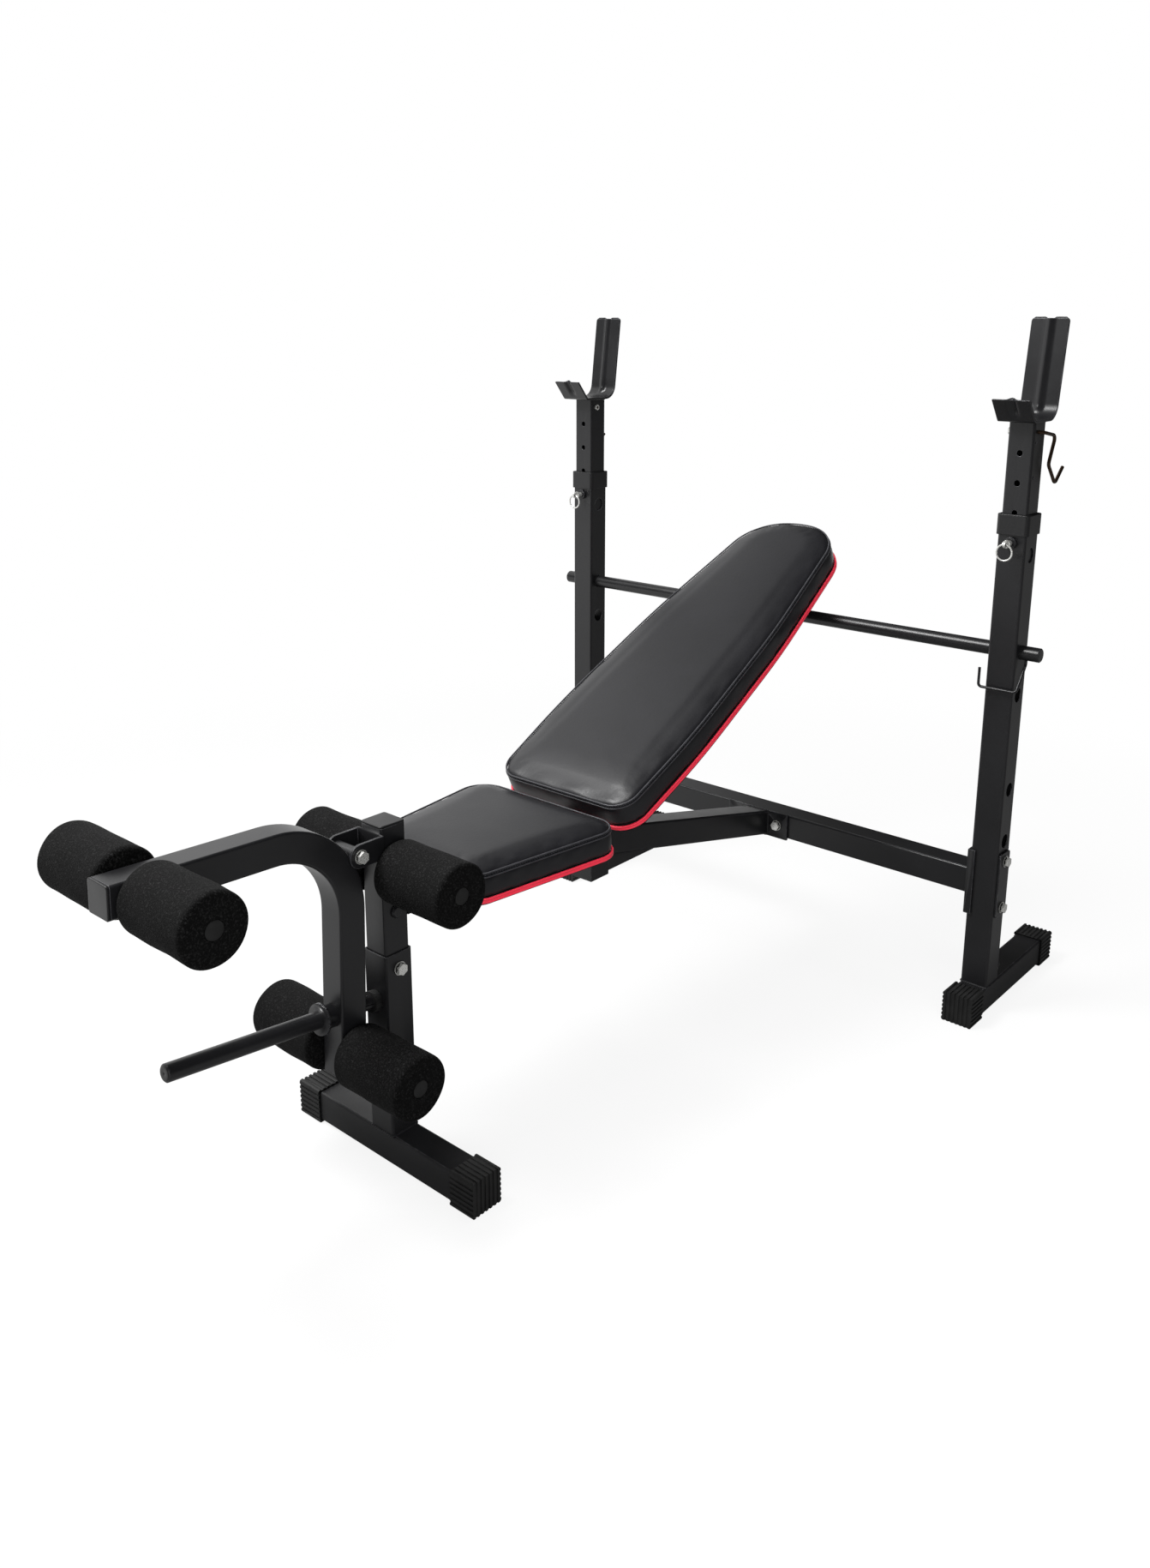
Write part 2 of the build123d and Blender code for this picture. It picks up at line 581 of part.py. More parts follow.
# Backrest frame of reference: x across, y up the pad, z out of its face
tilt = math.radians(BACK_ANGLE)
rail_bottom = BACK_STACK + RAIL_HEIGHT
bar_touch = rail_bottom + BAR_RADIUS + SEAT_GAP
bar_z = BAR_HOLE_USED
back_z = bar_z + bar_touch / math.cos(tilt) + BACK_Y * math.tan(tilt)
back_plane = Plane(origin=(0, BACK_Y, back_z), x_dir=(1, 0, 0), z_dir=(0, -math.sin(tilt), math.cos(tilt)))
hinge = back_plane.from_local_coords(Vector(0, HINGE_U, RAIL_V))
ear_outer = FRAME_TUBE / 2 + PLATE
hinge_ear = block(FRAME_TUBE / 2, ear_outer, hinge.Y - HINGE_EAR_RADIUS, hinge.Y + HINGE_EAR_RADIUS,
                  hinge.Z - HINGE_EAR_DROP, hinge.Z)
hinge_ear += rod_x(HINGE_EAR_RADIUS, FRAME_TUBE / 2, ear_outer, hinge.Y, hinge.Z)
hinge_ear -= rod_x(BOLT_HOLE, 0, 2 * ear_outer, hinge.Y, hinge.Z)
spine += hinge_ear + other_side(hinge_ear)
parts["spine"] = spine

# Receiver post with the clevis on its front
receiver = Pos(0, POST_Y, RECEIVER_BOTTOM) * square_tube(INNER_TUBE, RECEIVER_TOP - RECEIVER_BOTTOM)
ear_low = PIVOT_Z - EAR_RADIUS
ear_high = PIVOT_Z + EAR_RADIUS
ear_out = EAR_INSIDE + PLATE
clevis_back = RECEIVER_FRONT - PLATE
receiver += block(-ear_out, ear_out, clevis_back, RECEIVER_FRONT, ear_low, ear_high)
ear = block(EAR_INSIDE, ear_out, PIVOT_Y, clevis_back, ear_low, ear_high)
ear += rod_x(EAR_RADIUS, EAR_INSIDE, ear_out, PIVOT_Y, PIVOT_Z)
ear -= rod_x(BOLT_HOLE, 0, 2 * ear_out, PIVOT_Y, PIVOT_Z)
receiver += ear + other_side(ear)
receiver -= rod_x(BAR_RADIUS + PIN_GAP, -INNER_TUBE, INNER_TUBE, POST_Y, KNEE_BAR_Z)
receiver -= rod_x(BOLT_HOLE, -INNER_TUBE, INNER_TUBE, POST_Y, POST_BOLT_Z)
receiver -= rod_x(BOLT_HOLE, -INNER_TUBE, INNER_TUBE, POST_Y, BUTTON_BOLT_Z)
parts["receiver_post"] = receiver
through_x(-ear_out, ear_out, PIVOT_Y, PIVOT_Z)

# Plastic plug for the open end of an inner tube
plug_size = INNER_TUBE - 2 * TUBE_WALL - 2 * SEAT_GAP


def tube_plug(thickness):
    """Square plug with its plate above zero and its shank below."""
    plate = extrude(RectangleRounded(INNER_TUBE, INNER_TUBE, TUBE_CORNER), thickness)
    shank = extrude(RectangleRounded(plug_size, plug_size, TUBE_CORNER - TUBE_WALL), -PLUG_DEPTH)
    plate = chamfer(plate.faces().sort_by(Axis.Z)[-1].outer_wire().edges(), 1.0)
    return plate + shank


parts["receiver_cap"] = Pos(0, POST_Y, RECEIVER_TOP) * tube_plug(CAP_PLATE)

# Front base: floor bar with the lower post welded on it
bar_run = FRONT_BAR_HALF - CAP_END
base = to_right(-bar_run, POST_Y, FOOT_AXIS) * square_tube(FRAME_TUBE, 2 * bar_run)
base += Pos(0, POST_Y, FOOT_TOP) * square_tube(FRAME_TUBE, LOWER_POST_TOP - FOOT_TOP)
base -= rod_x(BOLT_HOLE, -FRAME_TUBE, FRAME_TUBE, POST_Y, POST_BOLT_Z)
base_back = POST_Y + FRAME_TUBE / 2
base -= rod_y(SET_SCREW_RADIUS + RUN_GAP, POST_Y, base_back + PLATE, 0, POST_BOLT_Z)
parts["front_base"] = base
through_x(-FRAME_TUBE / 2, FRAME_TUBE / 2, POST_Y, POST_BOLT_Z)

# Set screw at the back of the lower post
set_screw = rod_y(SET_SCREW_RADIUS, RECEIVER_BACK, base_back, 0, POST_BOLT_Z)
set_screw += to_rear(0, base_back, POST_BOLT_Z) * extrude(RegularPolygon(HEX_RADIUS, 6), HEAD_HEIGHT)
parts["set_screw"] = set_screw

# Black button bolt across the receiver post
button_x = INNER_TUBE / 2
button = extrude(Circle(BUTTON_RADIUS), BUTTON_HEIGHT)
button = chamfer(button.faces().sort_by(Axis.Z)[-1].edges(), BUTTON_HEIGHT * 0.6)
button = to_right(button_x, POST_Y, BUTTON_BOLT_Z) * button
button += rod_x(BOLT_RADIUS, -button_x - NUT_HEIGHT, button_x, POST_Y, BUTTON_BOLT_Z)
parts["button_bolt"] = button
nuts.append(to_left(-button_x, POST_Y, BUTTON_BOLT_Z) * hex_nut())

# Roller bars, end plugs and foam rollers
bar_bore = BAR_RADIUS - ROLLER_BAR_WALL


def roller_bar(y, z):
    """Round tube across the bench that carries two rollers."""
    tube = rod_x(BAR_RADIUS, -ROLLER_BAR_HALF, ROLLER_BAR_HALF, y, z)
    return tube - rod_x(bar_bore, -ROLLER_BAR_HALF, ROLLER_BAR_HALF, y, z)


def bar_plugs(y, z):
    """Plugs in the two ends of a roller bar."""
    shank = rod_x(bar_bore - SEAT_GAP, ROLLER_BAR_HALF - PLUG_DEPTH, ROLLER_BAR_HALF, y, z)
    plug = shank + rod_x(BAR_RADIUS, ROLLER_BAR_HALF, ROLLER_BAR_HALF + CAP_PLATE, y, z)
    return [plug, other_side(plug)]


def foam_roller(y, z):
    """Foam roller on the right half of a bar."""
    half = ROLLER_OUTER - ROLLER_INNER
    foam = Cylinder(ROLLER_RADIUS, half)
    foam = chamfer(foam.edges().filter_by(GeomType.CIRCLE), ROLLER_ROUND * 0.3, ROLLER_ROUND * 0.7)
    foam -= Cylinder(BAR_RADIUS + RUN_GAP, half)
    return to_right((ROLLER_OUTER + ROLLER_INNER) / 2, y, z) * foam


parts["knee_bar"] = roller_bar(POST_Y, KNEE_BAR_Z)
parts["knee_bar_plugs"] = Compound(bar_plugs(POST_Y, KNEE_BAR_Z))
knee_roller = foam_roller(POST_Y, KNEE_BAR_Z)
parts["knee_roller_right"] = knee_roller
parts["knee_roller_left"] = other_side(knee_roller)

# Leg developer: bent square tube, built level about its bend and then tilted
pivot_radius = LEVER_BEND + INNER_TUBE / 2 + SLEEVE_RADIUS - WELD_SINK
pivot_turn = math.radians(PIVOT_ANGLE)
pivot_local = Vector(0, pivot_radius * math.cos(pivot_turn), pivot_radius * math.sin(pivot_turn))
turned = Rot(-LEVER_TILT, 0, 0) * Vertex(*pivot_local)
bend_y = PIVOT_Y - turned.center().Y
bend_z = PIVOT_Z - turned.center().Z
lever_at = Pos(0, bend_y, bend_z) * Rot(-LEVER_TILT, 0, 0)
arm_end = (0, -LEVER_ARM, LEVER_BEND)
leg_end = (0, LEVER_BEND, -LEVER_LEG)
lever_path = FilletPolyline(arm_end, (0, LEVER_BEND, LEVER_BEND), leg_end, radius=LEVER_BEND)
lever_section = Plane(origin=arm_end, x_dir=(1, 0, 0), z_dir=(0, 1, 0))
lever_bore = INNER_TUBE - 2 * TUBE_WALL
lever_hollow = RectangleRounded(lever_bore, lever_bore, TUBE_CORNER - TUBE_WALL)
lever = sweep(lever_section * RectangleRounded(INNER_TUBE, INNER_TUBE, TUBE_CORNER), path=lever_path)
lever_inside = sweep(lever_section * lever_hollow, path=lever_path)
sleeve_half = EAR_INSIDE - SEAT_GAP
sleeve = rod_x(SLEEVE_RADIUS, -sleeve_half, sleeve_half, pivot_local.Y, pivot_local.Z)
lug = block(-LUG_WIDTH / 2, LUG_WIDTH / 2, LEVER_BEND, pivot_local.Y, pivot_local.Z - LUG_DROP, pivot_local.Z)
lug &= Rot(0, 90, 0) * Cylinder(pivot_radius, LUG_WIDTH)
lever += sleeve + lug
lever -= lever_inside
lever -= rod_x(RUN_HOLE, -EAR_INSIDE, EAR_INSIDE, pivot_local.Y, pivot_local.Z)
arm_bar = Vector(0, -LEVER_ARM + ARM_BAR_BACK, LEVER_BEND - ARM_BAR_LOW)
leg_bar = Vector(0, LEVER_BEND, -LEVER_LEG + LEG_BAR_UP)
for axis in (arm_bar, leg_bar):
    lever -= rod_x(BAR_RADIUS + PIN_GAP, -INNER_TUBE, INNER_TUBE, axis.Y, axis.Z)
post_axis = Pos(0, LEVER_BEND, -PLATE_POST_DROP) * Rot(90 - PLATE_POST_TILT + LEVER_TILT, 0, 0)
lever -= post_axis * Pos(0, 0, FRAME_TUBE) * Cylinder(PLATE_POST_RADIUS + PIN_GAP, 2 * FRAME_TUBE)
lever -= post_axis * Pos(0, 0, -FRAME_TUBE) * Cylinder(STUB_RADIUS + PIN_GAP, 2 * FRAME_TUBE)
parts["lever"] = lever_at * lever
arm_plug = Pos(*arm_end) * Rot(90, 0, 0) * tube_plug(PLUG_WALL)
leg_plug = Pos(*leg_end) * Rot(180, 0, 0) * tube_plug(PLUG_WALL)
parts["lever_plugs"] = Compound([lever_at * arm_plug, lever_at * leg_plug])

# Roller bars and rollers of the leg developer
lever_plugs = []
for name, axis in (("upper", arm_bar), ("lower", leg_bar)):
    spot = (lever_at * Vertex(*axis)).center()
    parts[name + "_bar"] = roller_bar(spot.Y, spot.Z)
    lever_plugs += bar_plugs(spot.Y, spot.Z)
    roller = foam_roller(spot.Y, spot.Z)
    parts[name + "_roller_right"] = roller
    parts[name + "_roller_left"] = other_side(roller)
parts["lever_bar_plugs"] = Compound(lever_plugs)

# Weight plate post: rod through the leg, hub and stop ring in front, stub behind
leg_face = LEVER_BEND - INNER_TUBE / 2
leg_rear = LEVER_BEND + INNER_TUBE / 2
hub = post_axis * Pos(0, 0, STOP_START / 2) * Cylinder(HUB_RADIUS, STOP_START)
hub -= block(-FRAME_TUBE, FRAME_TUBE, leg_face, leg_rear, -LEVER_LEG, 0)
rod = Pos(0, 0, PLATE_POST_LENGTH / 2) * Cylinder(PLATE_POST_RADIUS, PLATE_POST_LENGTH)
rod = chamfer(rod.faces().sort_by(Axis.Z)[-1].edges(), BAR_CHAMFER)
rod += Pos(0, 0, -STUB_LENGTH / 2) * Cylinder(STUB_RADIUS, STUB_LENGTH)
rod += Pos(0, 0, STOP_START + STOP_THICK / 2) * Cylinder(STOP_RADIUS, STOP_THICK)
plate_post = post_axis * rod + hub
parts["plate_post"] = lever_at * plate_post
post_centre = (lever_at * post_axis * Vertex(0, 0, 0)).center()
post_face = POST_Y - FRAME_TUBE / 2
post_lean = math.radians(PLATE_POST_TILT)
bumper_end = (post_face - SEAT_GAP - post_centre.Y - BUMPER_RADIUS * math.sin(post_lean)) / math.cos(post_lean)
bumper_length = bumper_end - STUB_LENGTH
bumper = Pos(0, 0, -STUB_LENGTH - bumper_length / 2) * Cylinder(BUMPER_RADIUS, bumper_length)
parts["bumper"] = lever_at * post_axis * bumper

# Support bar under the backrest, with a cross hole for its clip
clip_x = OUTER_X + CLIP_OUT
bar = rod_x(BAR_RADIUS, -BAR_HALF, BAR_HALF, 0, bar_z)
bar = chamfer(bar.edges().filter_by(GeomType.CIRCLE), BAR_CHAMFER)
bar -= rod_z(CLIP_WIRE + SEAT_GAP, bar_z - 2 * BAR_RADIUS, bar_z + 2 * BAR_RADIUS, clip_x, 0)
parts["support_bar"] = bar
clip_y = FRONT_FACE - CLIP_FRONT
clip_in = INNER_X - CLIP_IN
clip = wire([
    (clip_x, 0, bar_z + BAR_RADIUS / 2),
    (clip_x, 0, bar_z - CLIP_ENTRY),
    (clip_x, clip_y, bar_z - CLIP_DROP),
    (clip_in, clip_y, bar_z - CLIP_DROP),
    (clip_in, clip_y, bar_z - CLIP_DROP + CLIP_END),
], CLIP_BEND, CLIP_WIRE)
parts["bar_clip"] = clip


def pad(outline, height, inset):
    """Cushion with drawn-in sides, a crown and a piped lower edge round its board's recess."""
    layers = [(-height, inset / 2), (-height * 0.8, 0), (-height * 0.22, 1.5), (-height * 0.06, 6),
              (0, 13), (CROWN * 0.6, 27), (CROWN, 42)]
    cushion = loft([Pos(0, 0, level) * offset(outline, -draw) for level, draw in layers], ruled=True)
    edge = offset(outline, PIPING_PROUD) - offset(outline, -inset)
    return cushion + Pos(0, 0, PIPING_LAP - height) * extrude(edge, -PIPING - PIPING_LAP)


def pad_board(outline, height, inset, holes):
    """Plywood board under a cushion, drilled for its screws."""
    board = Pos(0, 0, -height) * extrude(offset(outline, -inset), -BOARD)
    for x, y in holes:
        board -= rod_z(SCREW_RADIUS + RUN_GAP, -height - BOARD, -height - BOARD + SCREW_BITE + PLATE / 2, x, y)
    return board


def pad_screw(x, y, height, clamp):
    """Screw into a board from below, with its head under the clamped metal."""
    base = -height - BOARD
    shank = rod_z(SCREW_RADIUS, base - clamp, base + SCREW_BITE, x, y)
    return shank + rod_z(SCREW_HEAD_RADIUS, base - clamp - SCREW_HEAD, base - clamp, x, y)


# Seat pad, narrower at the knees
seat_face = Polygon((-SEAT_FRONT_HALF, SEAT_FRONT_Y), (SEAT_FRONT_HALF, SEAT_FRONT_Y),
                    (SEAT_BACK_HALF, SEAT_BACK_Y), (-SEAT_BACK_HALF, SEAT_BACK_Y), align=None)
seat_face = fillet(seat_face.vertices(), SEAT_CORNER)
seat_at = Pos(0, 0, SEAT_TOP)
seat_holes = [(side * SCREW_X, y) for side in (-1, 1) for y in (BRACKET_Y_FRONT, BRACKET_Y_REAR)]
parts["seat_cushion"] = seat_at * pad(seat_face, SEAT_HEIGHT, SEAT_BOARD_INSET)
parts["seat_board"] = seat_at * pad_board(seat_face, SEAT_HEIGHT, SEAT_BOARD_INSET, seat_holes)
parts["seat_screws"] = Compound([seat_at * pad_screw(x, y, SEAT_HEIGHT, PLATE) for x, y in seat_holes])

# Backrest pad, widest at the hips, with sides that bend in to rounded shoulders
back_half = [(BACK_BOTTOM_HALF, BACK_LOWER, BACK_BOTTOM_CORNER), (BACK_WIDE_HALF, BACK_WIDE_AT, BACK_SIDE_BEND),
             (BACK_SHOULDER_HALF, BACK_SHOULDER_AT, BACK_SIDE_BEND),
             (BACK_TOP_HALF, BACK_LENGTH - BACK_TOP_RISE, BACK_TOP_CORNER)]
back_face = Polygon(*[(x, y) for x, y, bend in back_half], (0, BACK_LENGTH),
                    *[(-x, y) for x, y, bend in reversed(back_half)], align=None)
for x, y, bend in back_half + [(0, BACK_LENGTH, BACK_TOP_BEND)]:
    corners = [spot for spot in back_face.vertices() if abs(spot.Y - y) < 0.01 and abs(abs(spot.X) - x) < 0.01]
    back_face = fillet(corners, bend)
back_holes = [(side * RAIL_X, y) for side in (-1, 1) for y in (BACK_SCREW_LOW, BACK_SCREW_HIGH)]
parts["back_cushion"] = back_plane * pad(back_face, BACK_HEIGHT, BACK_BOARD_INSET)
parts["back_board"] = back_plane * pad_board(back_face, BACK_HEIGHT, BACK_BOARD_INSET, back_holes)
parts["back_screws"] = Compound([back_plane * pad_screw(x, y, BACK_HEIGHT, RAIL_HEIGHT) for x, y in back_holes])

# Backrest frame: two rails on the hinge axle, tied together
rail_start = HINGE_U - HINGE_OVERRUN
rail_outline = RectangleRounded(RAIL_WIDTH, RAIL_HEIGHT, TUBE_CORNER)
rail_inside = RectangleRounded(RAIL_WIDTH - 2 * TUBE_WALL, RAIL_HEIGHT - 2 * TUBE_WALL, TUBE_CORNER - TUBE_WALL)
rail = extrude(rail_outline - rail_inside, RAIL_END - rail_start)
rail = Pos(RAIL_X, rail_start, RAIL_V) * Rot(-90, 0, 0) * rail
rail -= rod_x(RUN_HOLE, 0, 2 * RAIL_X, HINGE_U, RAIL_V)
for y in (BACK_SCREW_LOW, BACK_SCREW_HIGH):
    rail -= rod_z(SCREW_RADIUS + RUN_GAP, -rail_bottom - PLATE, -BACK_STACK + PLATE, RAIL_X, y)
back_frame = rail + other_side(rail)
tie_half = RAIL_X - RAIL_WIDTH / 2
for y in (TIE_LOW, TIE_HIGH):
    back_frame += block(-tie_half, tie_half, y - TIE / 2, y + TIE / 2, RAIL_V - TIE / 2, RAIL_V + TIE / 2)
parts["back_frame"] = back_plane * back_frame
rail_outer = RAIL_X + RAIL_WIDTH / 2 + SEAT_GAP
through_x(-rail_outer, rail_outer, hinge.Y, hinge.Z)

# Zinc fasteners, grouped by kind
parts["bolts"] = Compound(bolts)
parts["washers"] = Compound(washers)
parts["nuts"] = Compound(nuts)

# The origin goes to the middle of the footprint, on the floor
os.makedirs("parts", exist_ok=True)
box = Compound(list(parts.values())).bounding_box()
to_middle = Pos(-(box.min.X + box.max.X) / 2, -(box.min.Y + box.max.Y) / 2, 0)
for name, shape in parts.items():
    export_step(to_middle * shape, f"parts/{name}.step")
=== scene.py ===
import json
import math
import bmesh
import bpy
import numpy as np
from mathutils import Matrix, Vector

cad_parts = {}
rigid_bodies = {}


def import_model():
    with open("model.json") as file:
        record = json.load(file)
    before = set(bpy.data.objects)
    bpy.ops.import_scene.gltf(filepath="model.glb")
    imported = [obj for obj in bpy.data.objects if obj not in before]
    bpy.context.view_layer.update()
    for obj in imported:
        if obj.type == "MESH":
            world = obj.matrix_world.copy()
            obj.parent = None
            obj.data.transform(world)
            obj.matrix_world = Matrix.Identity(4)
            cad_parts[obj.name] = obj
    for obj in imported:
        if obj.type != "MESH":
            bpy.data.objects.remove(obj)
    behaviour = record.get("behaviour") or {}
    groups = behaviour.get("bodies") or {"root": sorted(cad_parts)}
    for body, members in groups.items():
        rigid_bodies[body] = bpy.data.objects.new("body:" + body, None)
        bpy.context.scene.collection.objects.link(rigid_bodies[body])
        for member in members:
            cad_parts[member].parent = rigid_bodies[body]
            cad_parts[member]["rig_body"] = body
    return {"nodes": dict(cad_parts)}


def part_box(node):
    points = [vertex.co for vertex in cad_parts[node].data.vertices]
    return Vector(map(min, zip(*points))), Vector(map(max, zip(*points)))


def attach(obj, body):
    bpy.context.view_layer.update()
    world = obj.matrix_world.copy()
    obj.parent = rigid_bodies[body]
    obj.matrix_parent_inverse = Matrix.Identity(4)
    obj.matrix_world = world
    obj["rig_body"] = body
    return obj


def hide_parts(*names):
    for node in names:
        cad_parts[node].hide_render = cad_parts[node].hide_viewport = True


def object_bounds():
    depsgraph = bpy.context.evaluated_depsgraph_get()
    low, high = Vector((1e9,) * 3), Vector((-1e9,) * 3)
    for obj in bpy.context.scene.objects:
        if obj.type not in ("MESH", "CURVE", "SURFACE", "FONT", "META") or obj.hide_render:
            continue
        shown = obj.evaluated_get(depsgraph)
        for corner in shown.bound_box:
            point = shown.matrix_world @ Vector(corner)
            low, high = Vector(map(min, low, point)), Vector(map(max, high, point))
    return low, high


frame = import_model()
cad_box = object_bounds()
nodes = frame["nodes"]

# Frame: two uprights on floor feet, the crossbeam with its channel ends, the spine and the front base.
# Square steel tube and plate, cut, drilled, welded and sprayed with black polyester powder, which bakes
# to a satin skin with a faint orange peel and is thin along the edges, where a paler colour paints a
# highlight.
SHARE, FROM, TO = 0, 6, 7  # sockets of a colour Mix node, whose names repeat
MIXED = 2  # its colour output


def linear(code):
    """sRGB hex to linear RGBA: each channel goes through the sRGB curve."""
    value = np.array([int(code[i:i + 2], 16) for i in (1, 3, 5)]) / 255
    flat = np.where(value <= 0.04045, value / 12.92, ((value + 0.055) / 1.055) ** 2.4)
    return (*flat.tolist(), 1.0)


def add(finish, kind, sockets=None, **settings):
    """Adds one shader node, sets its properties and fills or links its sockets."""
    made = finish.node_tree.nodes.new("ShaderNode" + kind)
    for key, value in settings.items():
        setattr(made, key, value)
    for key, value in (sockets or {}).items():
        if isinstance(value, bpy.types.NodeSocket):
            finish.node_tree.links.new(value, made.inputs[key])
        else:
            made.inputs[key].default_value = value
    return made


def blank(name):
    """An empty material and the Object coordinates that its patterns read."""
    finish = bpy.data.materials.new(name)
    finish.use_nodes = True
    finish.node_tree.nodes.clear()
    return finish, add(finish, "TexCoord").outputs["Object"]


def powder_coat():
    """Baked black polyester powder on steel: clouds of 60 mm, orange peel of 2.2 mm, grit of 0.7 mm, a
    painted highlight along the edges broken into patches of 14 mm like rubbed coat, and dulled by dust in the
    lowest 140 mm."""
    coat, place = blank("black_powder_coat_steel")
    cloud = add(coat, "TexNoise", {"Vector": place, "Scale": 1000 / 60, "Detail": 4.0}).outputs["Fac"]
    skin = add(coat, "Mix", {SHARE: cloud, FROM: linear("#0f0f10"), TO: linear("#1a1a1c")},
               data_type="RGBA").outputs[MIXED]
    flat = add(coat, "NewGeometry").outputs["Normal"]
    rounded_edge = add(coat, "Bevel", {"Radius": 0.0016}, samples=6).outputs["Normal"]
    likeness = add(coat, "VectorMath", {0: flat, 1: rounded_edge}, operation="DOT_PRODUCT").outputs["Value"]
    # Painted highlight: where the bevelled normal turns away from the face's own, along edges and corners,
    # the colour goes pale grey, in 14 mm patches like rubbed coat.
    edge_highlight_and_rub = add(coat, "MapRange", {"Value": likeness, "From Min": 0.998, "From Max": 0.94}).outputs["Result"]
    patch = add(coat, "TexNoise", {"Vector": place, "Scale": 1000 / 14, "Detail": 6.0}).outputs["Fac"]
    patch = add(coat, "MapRange", {"Value": patch, "From Min": 0.3, "From Max": 0.7}).outputs["Result"]
    edge_highlight_and_rub = add(coat, "Math", {0: edge_highlight_and_rub, 1: patch}, operation="MULTIPLY").outputs[0]
    colour = add(coat, "Mix", {SHARE: edge_highlight_and_rub, FROM: skin, TO: linear("#5a5a5e")},
                 data_type="RGBA").outputs[MIXED]
    peel = add(coat, "TexNoise", {"Vector": place, "Scale": 1000 / 2.2, "Detail": 2.0}).outputs["Fac"]
    grit = add(coat, "TexNoise", {"Vector": place, "Scale": 1000 / 0.7, "Detail": 1.0}).outputs["Fac"]
    wavy = add(coat, "Bump", {"Height": peel, "Distance": 0.00005, "Normal": rounded_edge}).outputs["Normal"]
    rough = add(coat, "Bump", {"Height": grit, "Distance": 0.00003, "Normal": wavy}).outputs["Normal"]
    satin = add(coat, "MapRange", {"Value": cloud, "To Min": 0.29, "To Max": 0.40}).outputs["Result"]
    height = add(coat, "SeparateXYZ", {0: place}).outputs["Z"]
    dust = add(coat, "MapRange", {"Value": height, "From Min": 0.14, "From Max": 0.03,
                                  "To Max": 0.30}).outputs["Result"]
    satin = add(coat, "Math", {0: satin, 1: dust}).outputs[0]
    shader = add(coat, "BsdfPrincipled", {"Base Color": colour, "Roughness": satin, "IOR": 1.5,
                                          "Normal": rough})
    add(coat, "OutputMaterial", {"Surface": shader.outputs[0]})
    return coat


def dress(node, finish, angle=34):
    """Copy of a CAD node: doubles merged, smooth up to an angle in degrees, and normals weighted by the
    faces' areas."""
    source = nodes[node]
    mesh = source.data.copy()
    work = bmesh.new()
    work.from_mesh(mesh)
    bmesh.ops.remove_doubles(work, verts=work.verts, dist=2e-6)
    work.to_mesh(mesh)
    work.free()
    mesh.materials.clear()
    mesh.materials.append(finish)
    mesh.polygons.foreach_set("use_smooth", np.ones(len(mesh.polygons), dtype=bool))
    mesh.set_sharp_from_angle(angle=math.radians(angle))
    piece = bpy.data.objects.new(node + "_finish", mesh)
    bpy.context.scene.collection.objects.link(piece)
    level = piece.modifiers.new("level_faces", "WEIGHTED_NORMAL")
    level.keep_sharp = True
    level.weight = 90
    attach(piece, source["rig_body"])
    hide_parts(node)
    return piece


coat = powder_coat()
for name in ("upright_right", "upright_left", "crossbeam", "backing_plates", "spine", "front_base"):
    dress(name, coat)

# Weld beads where the tubes meet: the columns on their feet, the beam on its channel ends, the spine on
# its flange, the front post on its bar and the cradles on their posts. Steel laid down by hand under gas,
# so the bead ripples every 4 mm or so; it is powder-coated with the rest.
WELD_RADIUS = 0.0021
WELD_RIPPLE = 0.0042
WELD_CORNER = 0.004
WELD_STEPS = 240
WELD_SIDES = 7
ARC_STEPS = 25
TUBE = 0.050
INNER_TUBE = 0.045
SPINE_CUT = 0.0514
FLOOR_TUBE_TOP = 0.054
FRONT_POST_Y = -0.42553
SPINE_END_Y = 0.55847
BEAM_END_X = 0.4507
BEAM_Z = 0.255
COLUMN_X = 0.480
COLUMN_Y = 0.58847
POST_TOP = 1.0820


def rounded(corners, radii, count):
    """Rounded polygon: each corner is an arc of its radius. Gives count points spaced evenly along it, their
    outward normals and the girth."""
    corners, radii = np.array(corners, float), np.array(radii, float)
    before = np.roll(corners, 1, axis=0) - corners
    after = np.roll(corners, -1, axis=0) - corners
    before /= np.linalg.norm(before, axis=1)[:, None]
    after /= np.linalg.norm(after, axis=1)[:, None]
    half = np.arccos(np.clip((before * after).sum(axis=1), -1, 1)) / 2
    bisector = (before + after) / np.linalg.norm(before + after, axis=1)[:, None]
    centre = corners + bisector * (radii / np.sin(half))[:, None]
    first = corners + before * (radii / np.tan(half))[:, None] - centre
    sweep = np.linspace(0, 1, ARC_STEPS)[None, :] * (np.pi - 2 * half)[:, None]
    turned_x = first[:, :1] * np.cos(sweep) - first[:, 1:] * np.sin(sweep)
    turned_y = first[:, :1] * np.sin(sweep) + first[:, 1:] * np.cos(sweep)
    line = (centre[:, None, :] + np.stack([turned_x, turned_y], axis=-1)).reshape(-1, 2)
    loop = np.vstack([line, line[:1]])
    run = np.concatenate([[0], np.cumsum(np.linalg.norm(np.diff(loop, axis=0), axis=1))])
    want = np.linspace(0, run[-1], count, endpoint=False)
    even = np.stack([np.interp(want, run, loop[:, 0]), np.interp(want, run, loop[:, 1])], axis=-1)
    along = np.roll(even, -1, axis=0) - np.roll(even, 1, axis=0)
    along /= np.linalg.norm(along, axis=1)[:, None]
    return even, np.stack([along[:, 1], -along[:, 0]], axis=-1), run[-1]


def grid_faces(rows, columns, close_rows=False):
    """Quads of a grid whose columns close in a ring, and whose rows do too where asked."""
    last = rows if close_rows else rows - 1
    row, column = np.meshgrid(np.arange(last), np.arange(columns), indexing="ij")
    up, right = (row + 1) % rows, (column + 1) % columns
    quads = [row * columns + column, row * columns + right, up * columns + right, up * columns + column]
    return np.stack(quads, axis=-1).reshape(-1, 4)


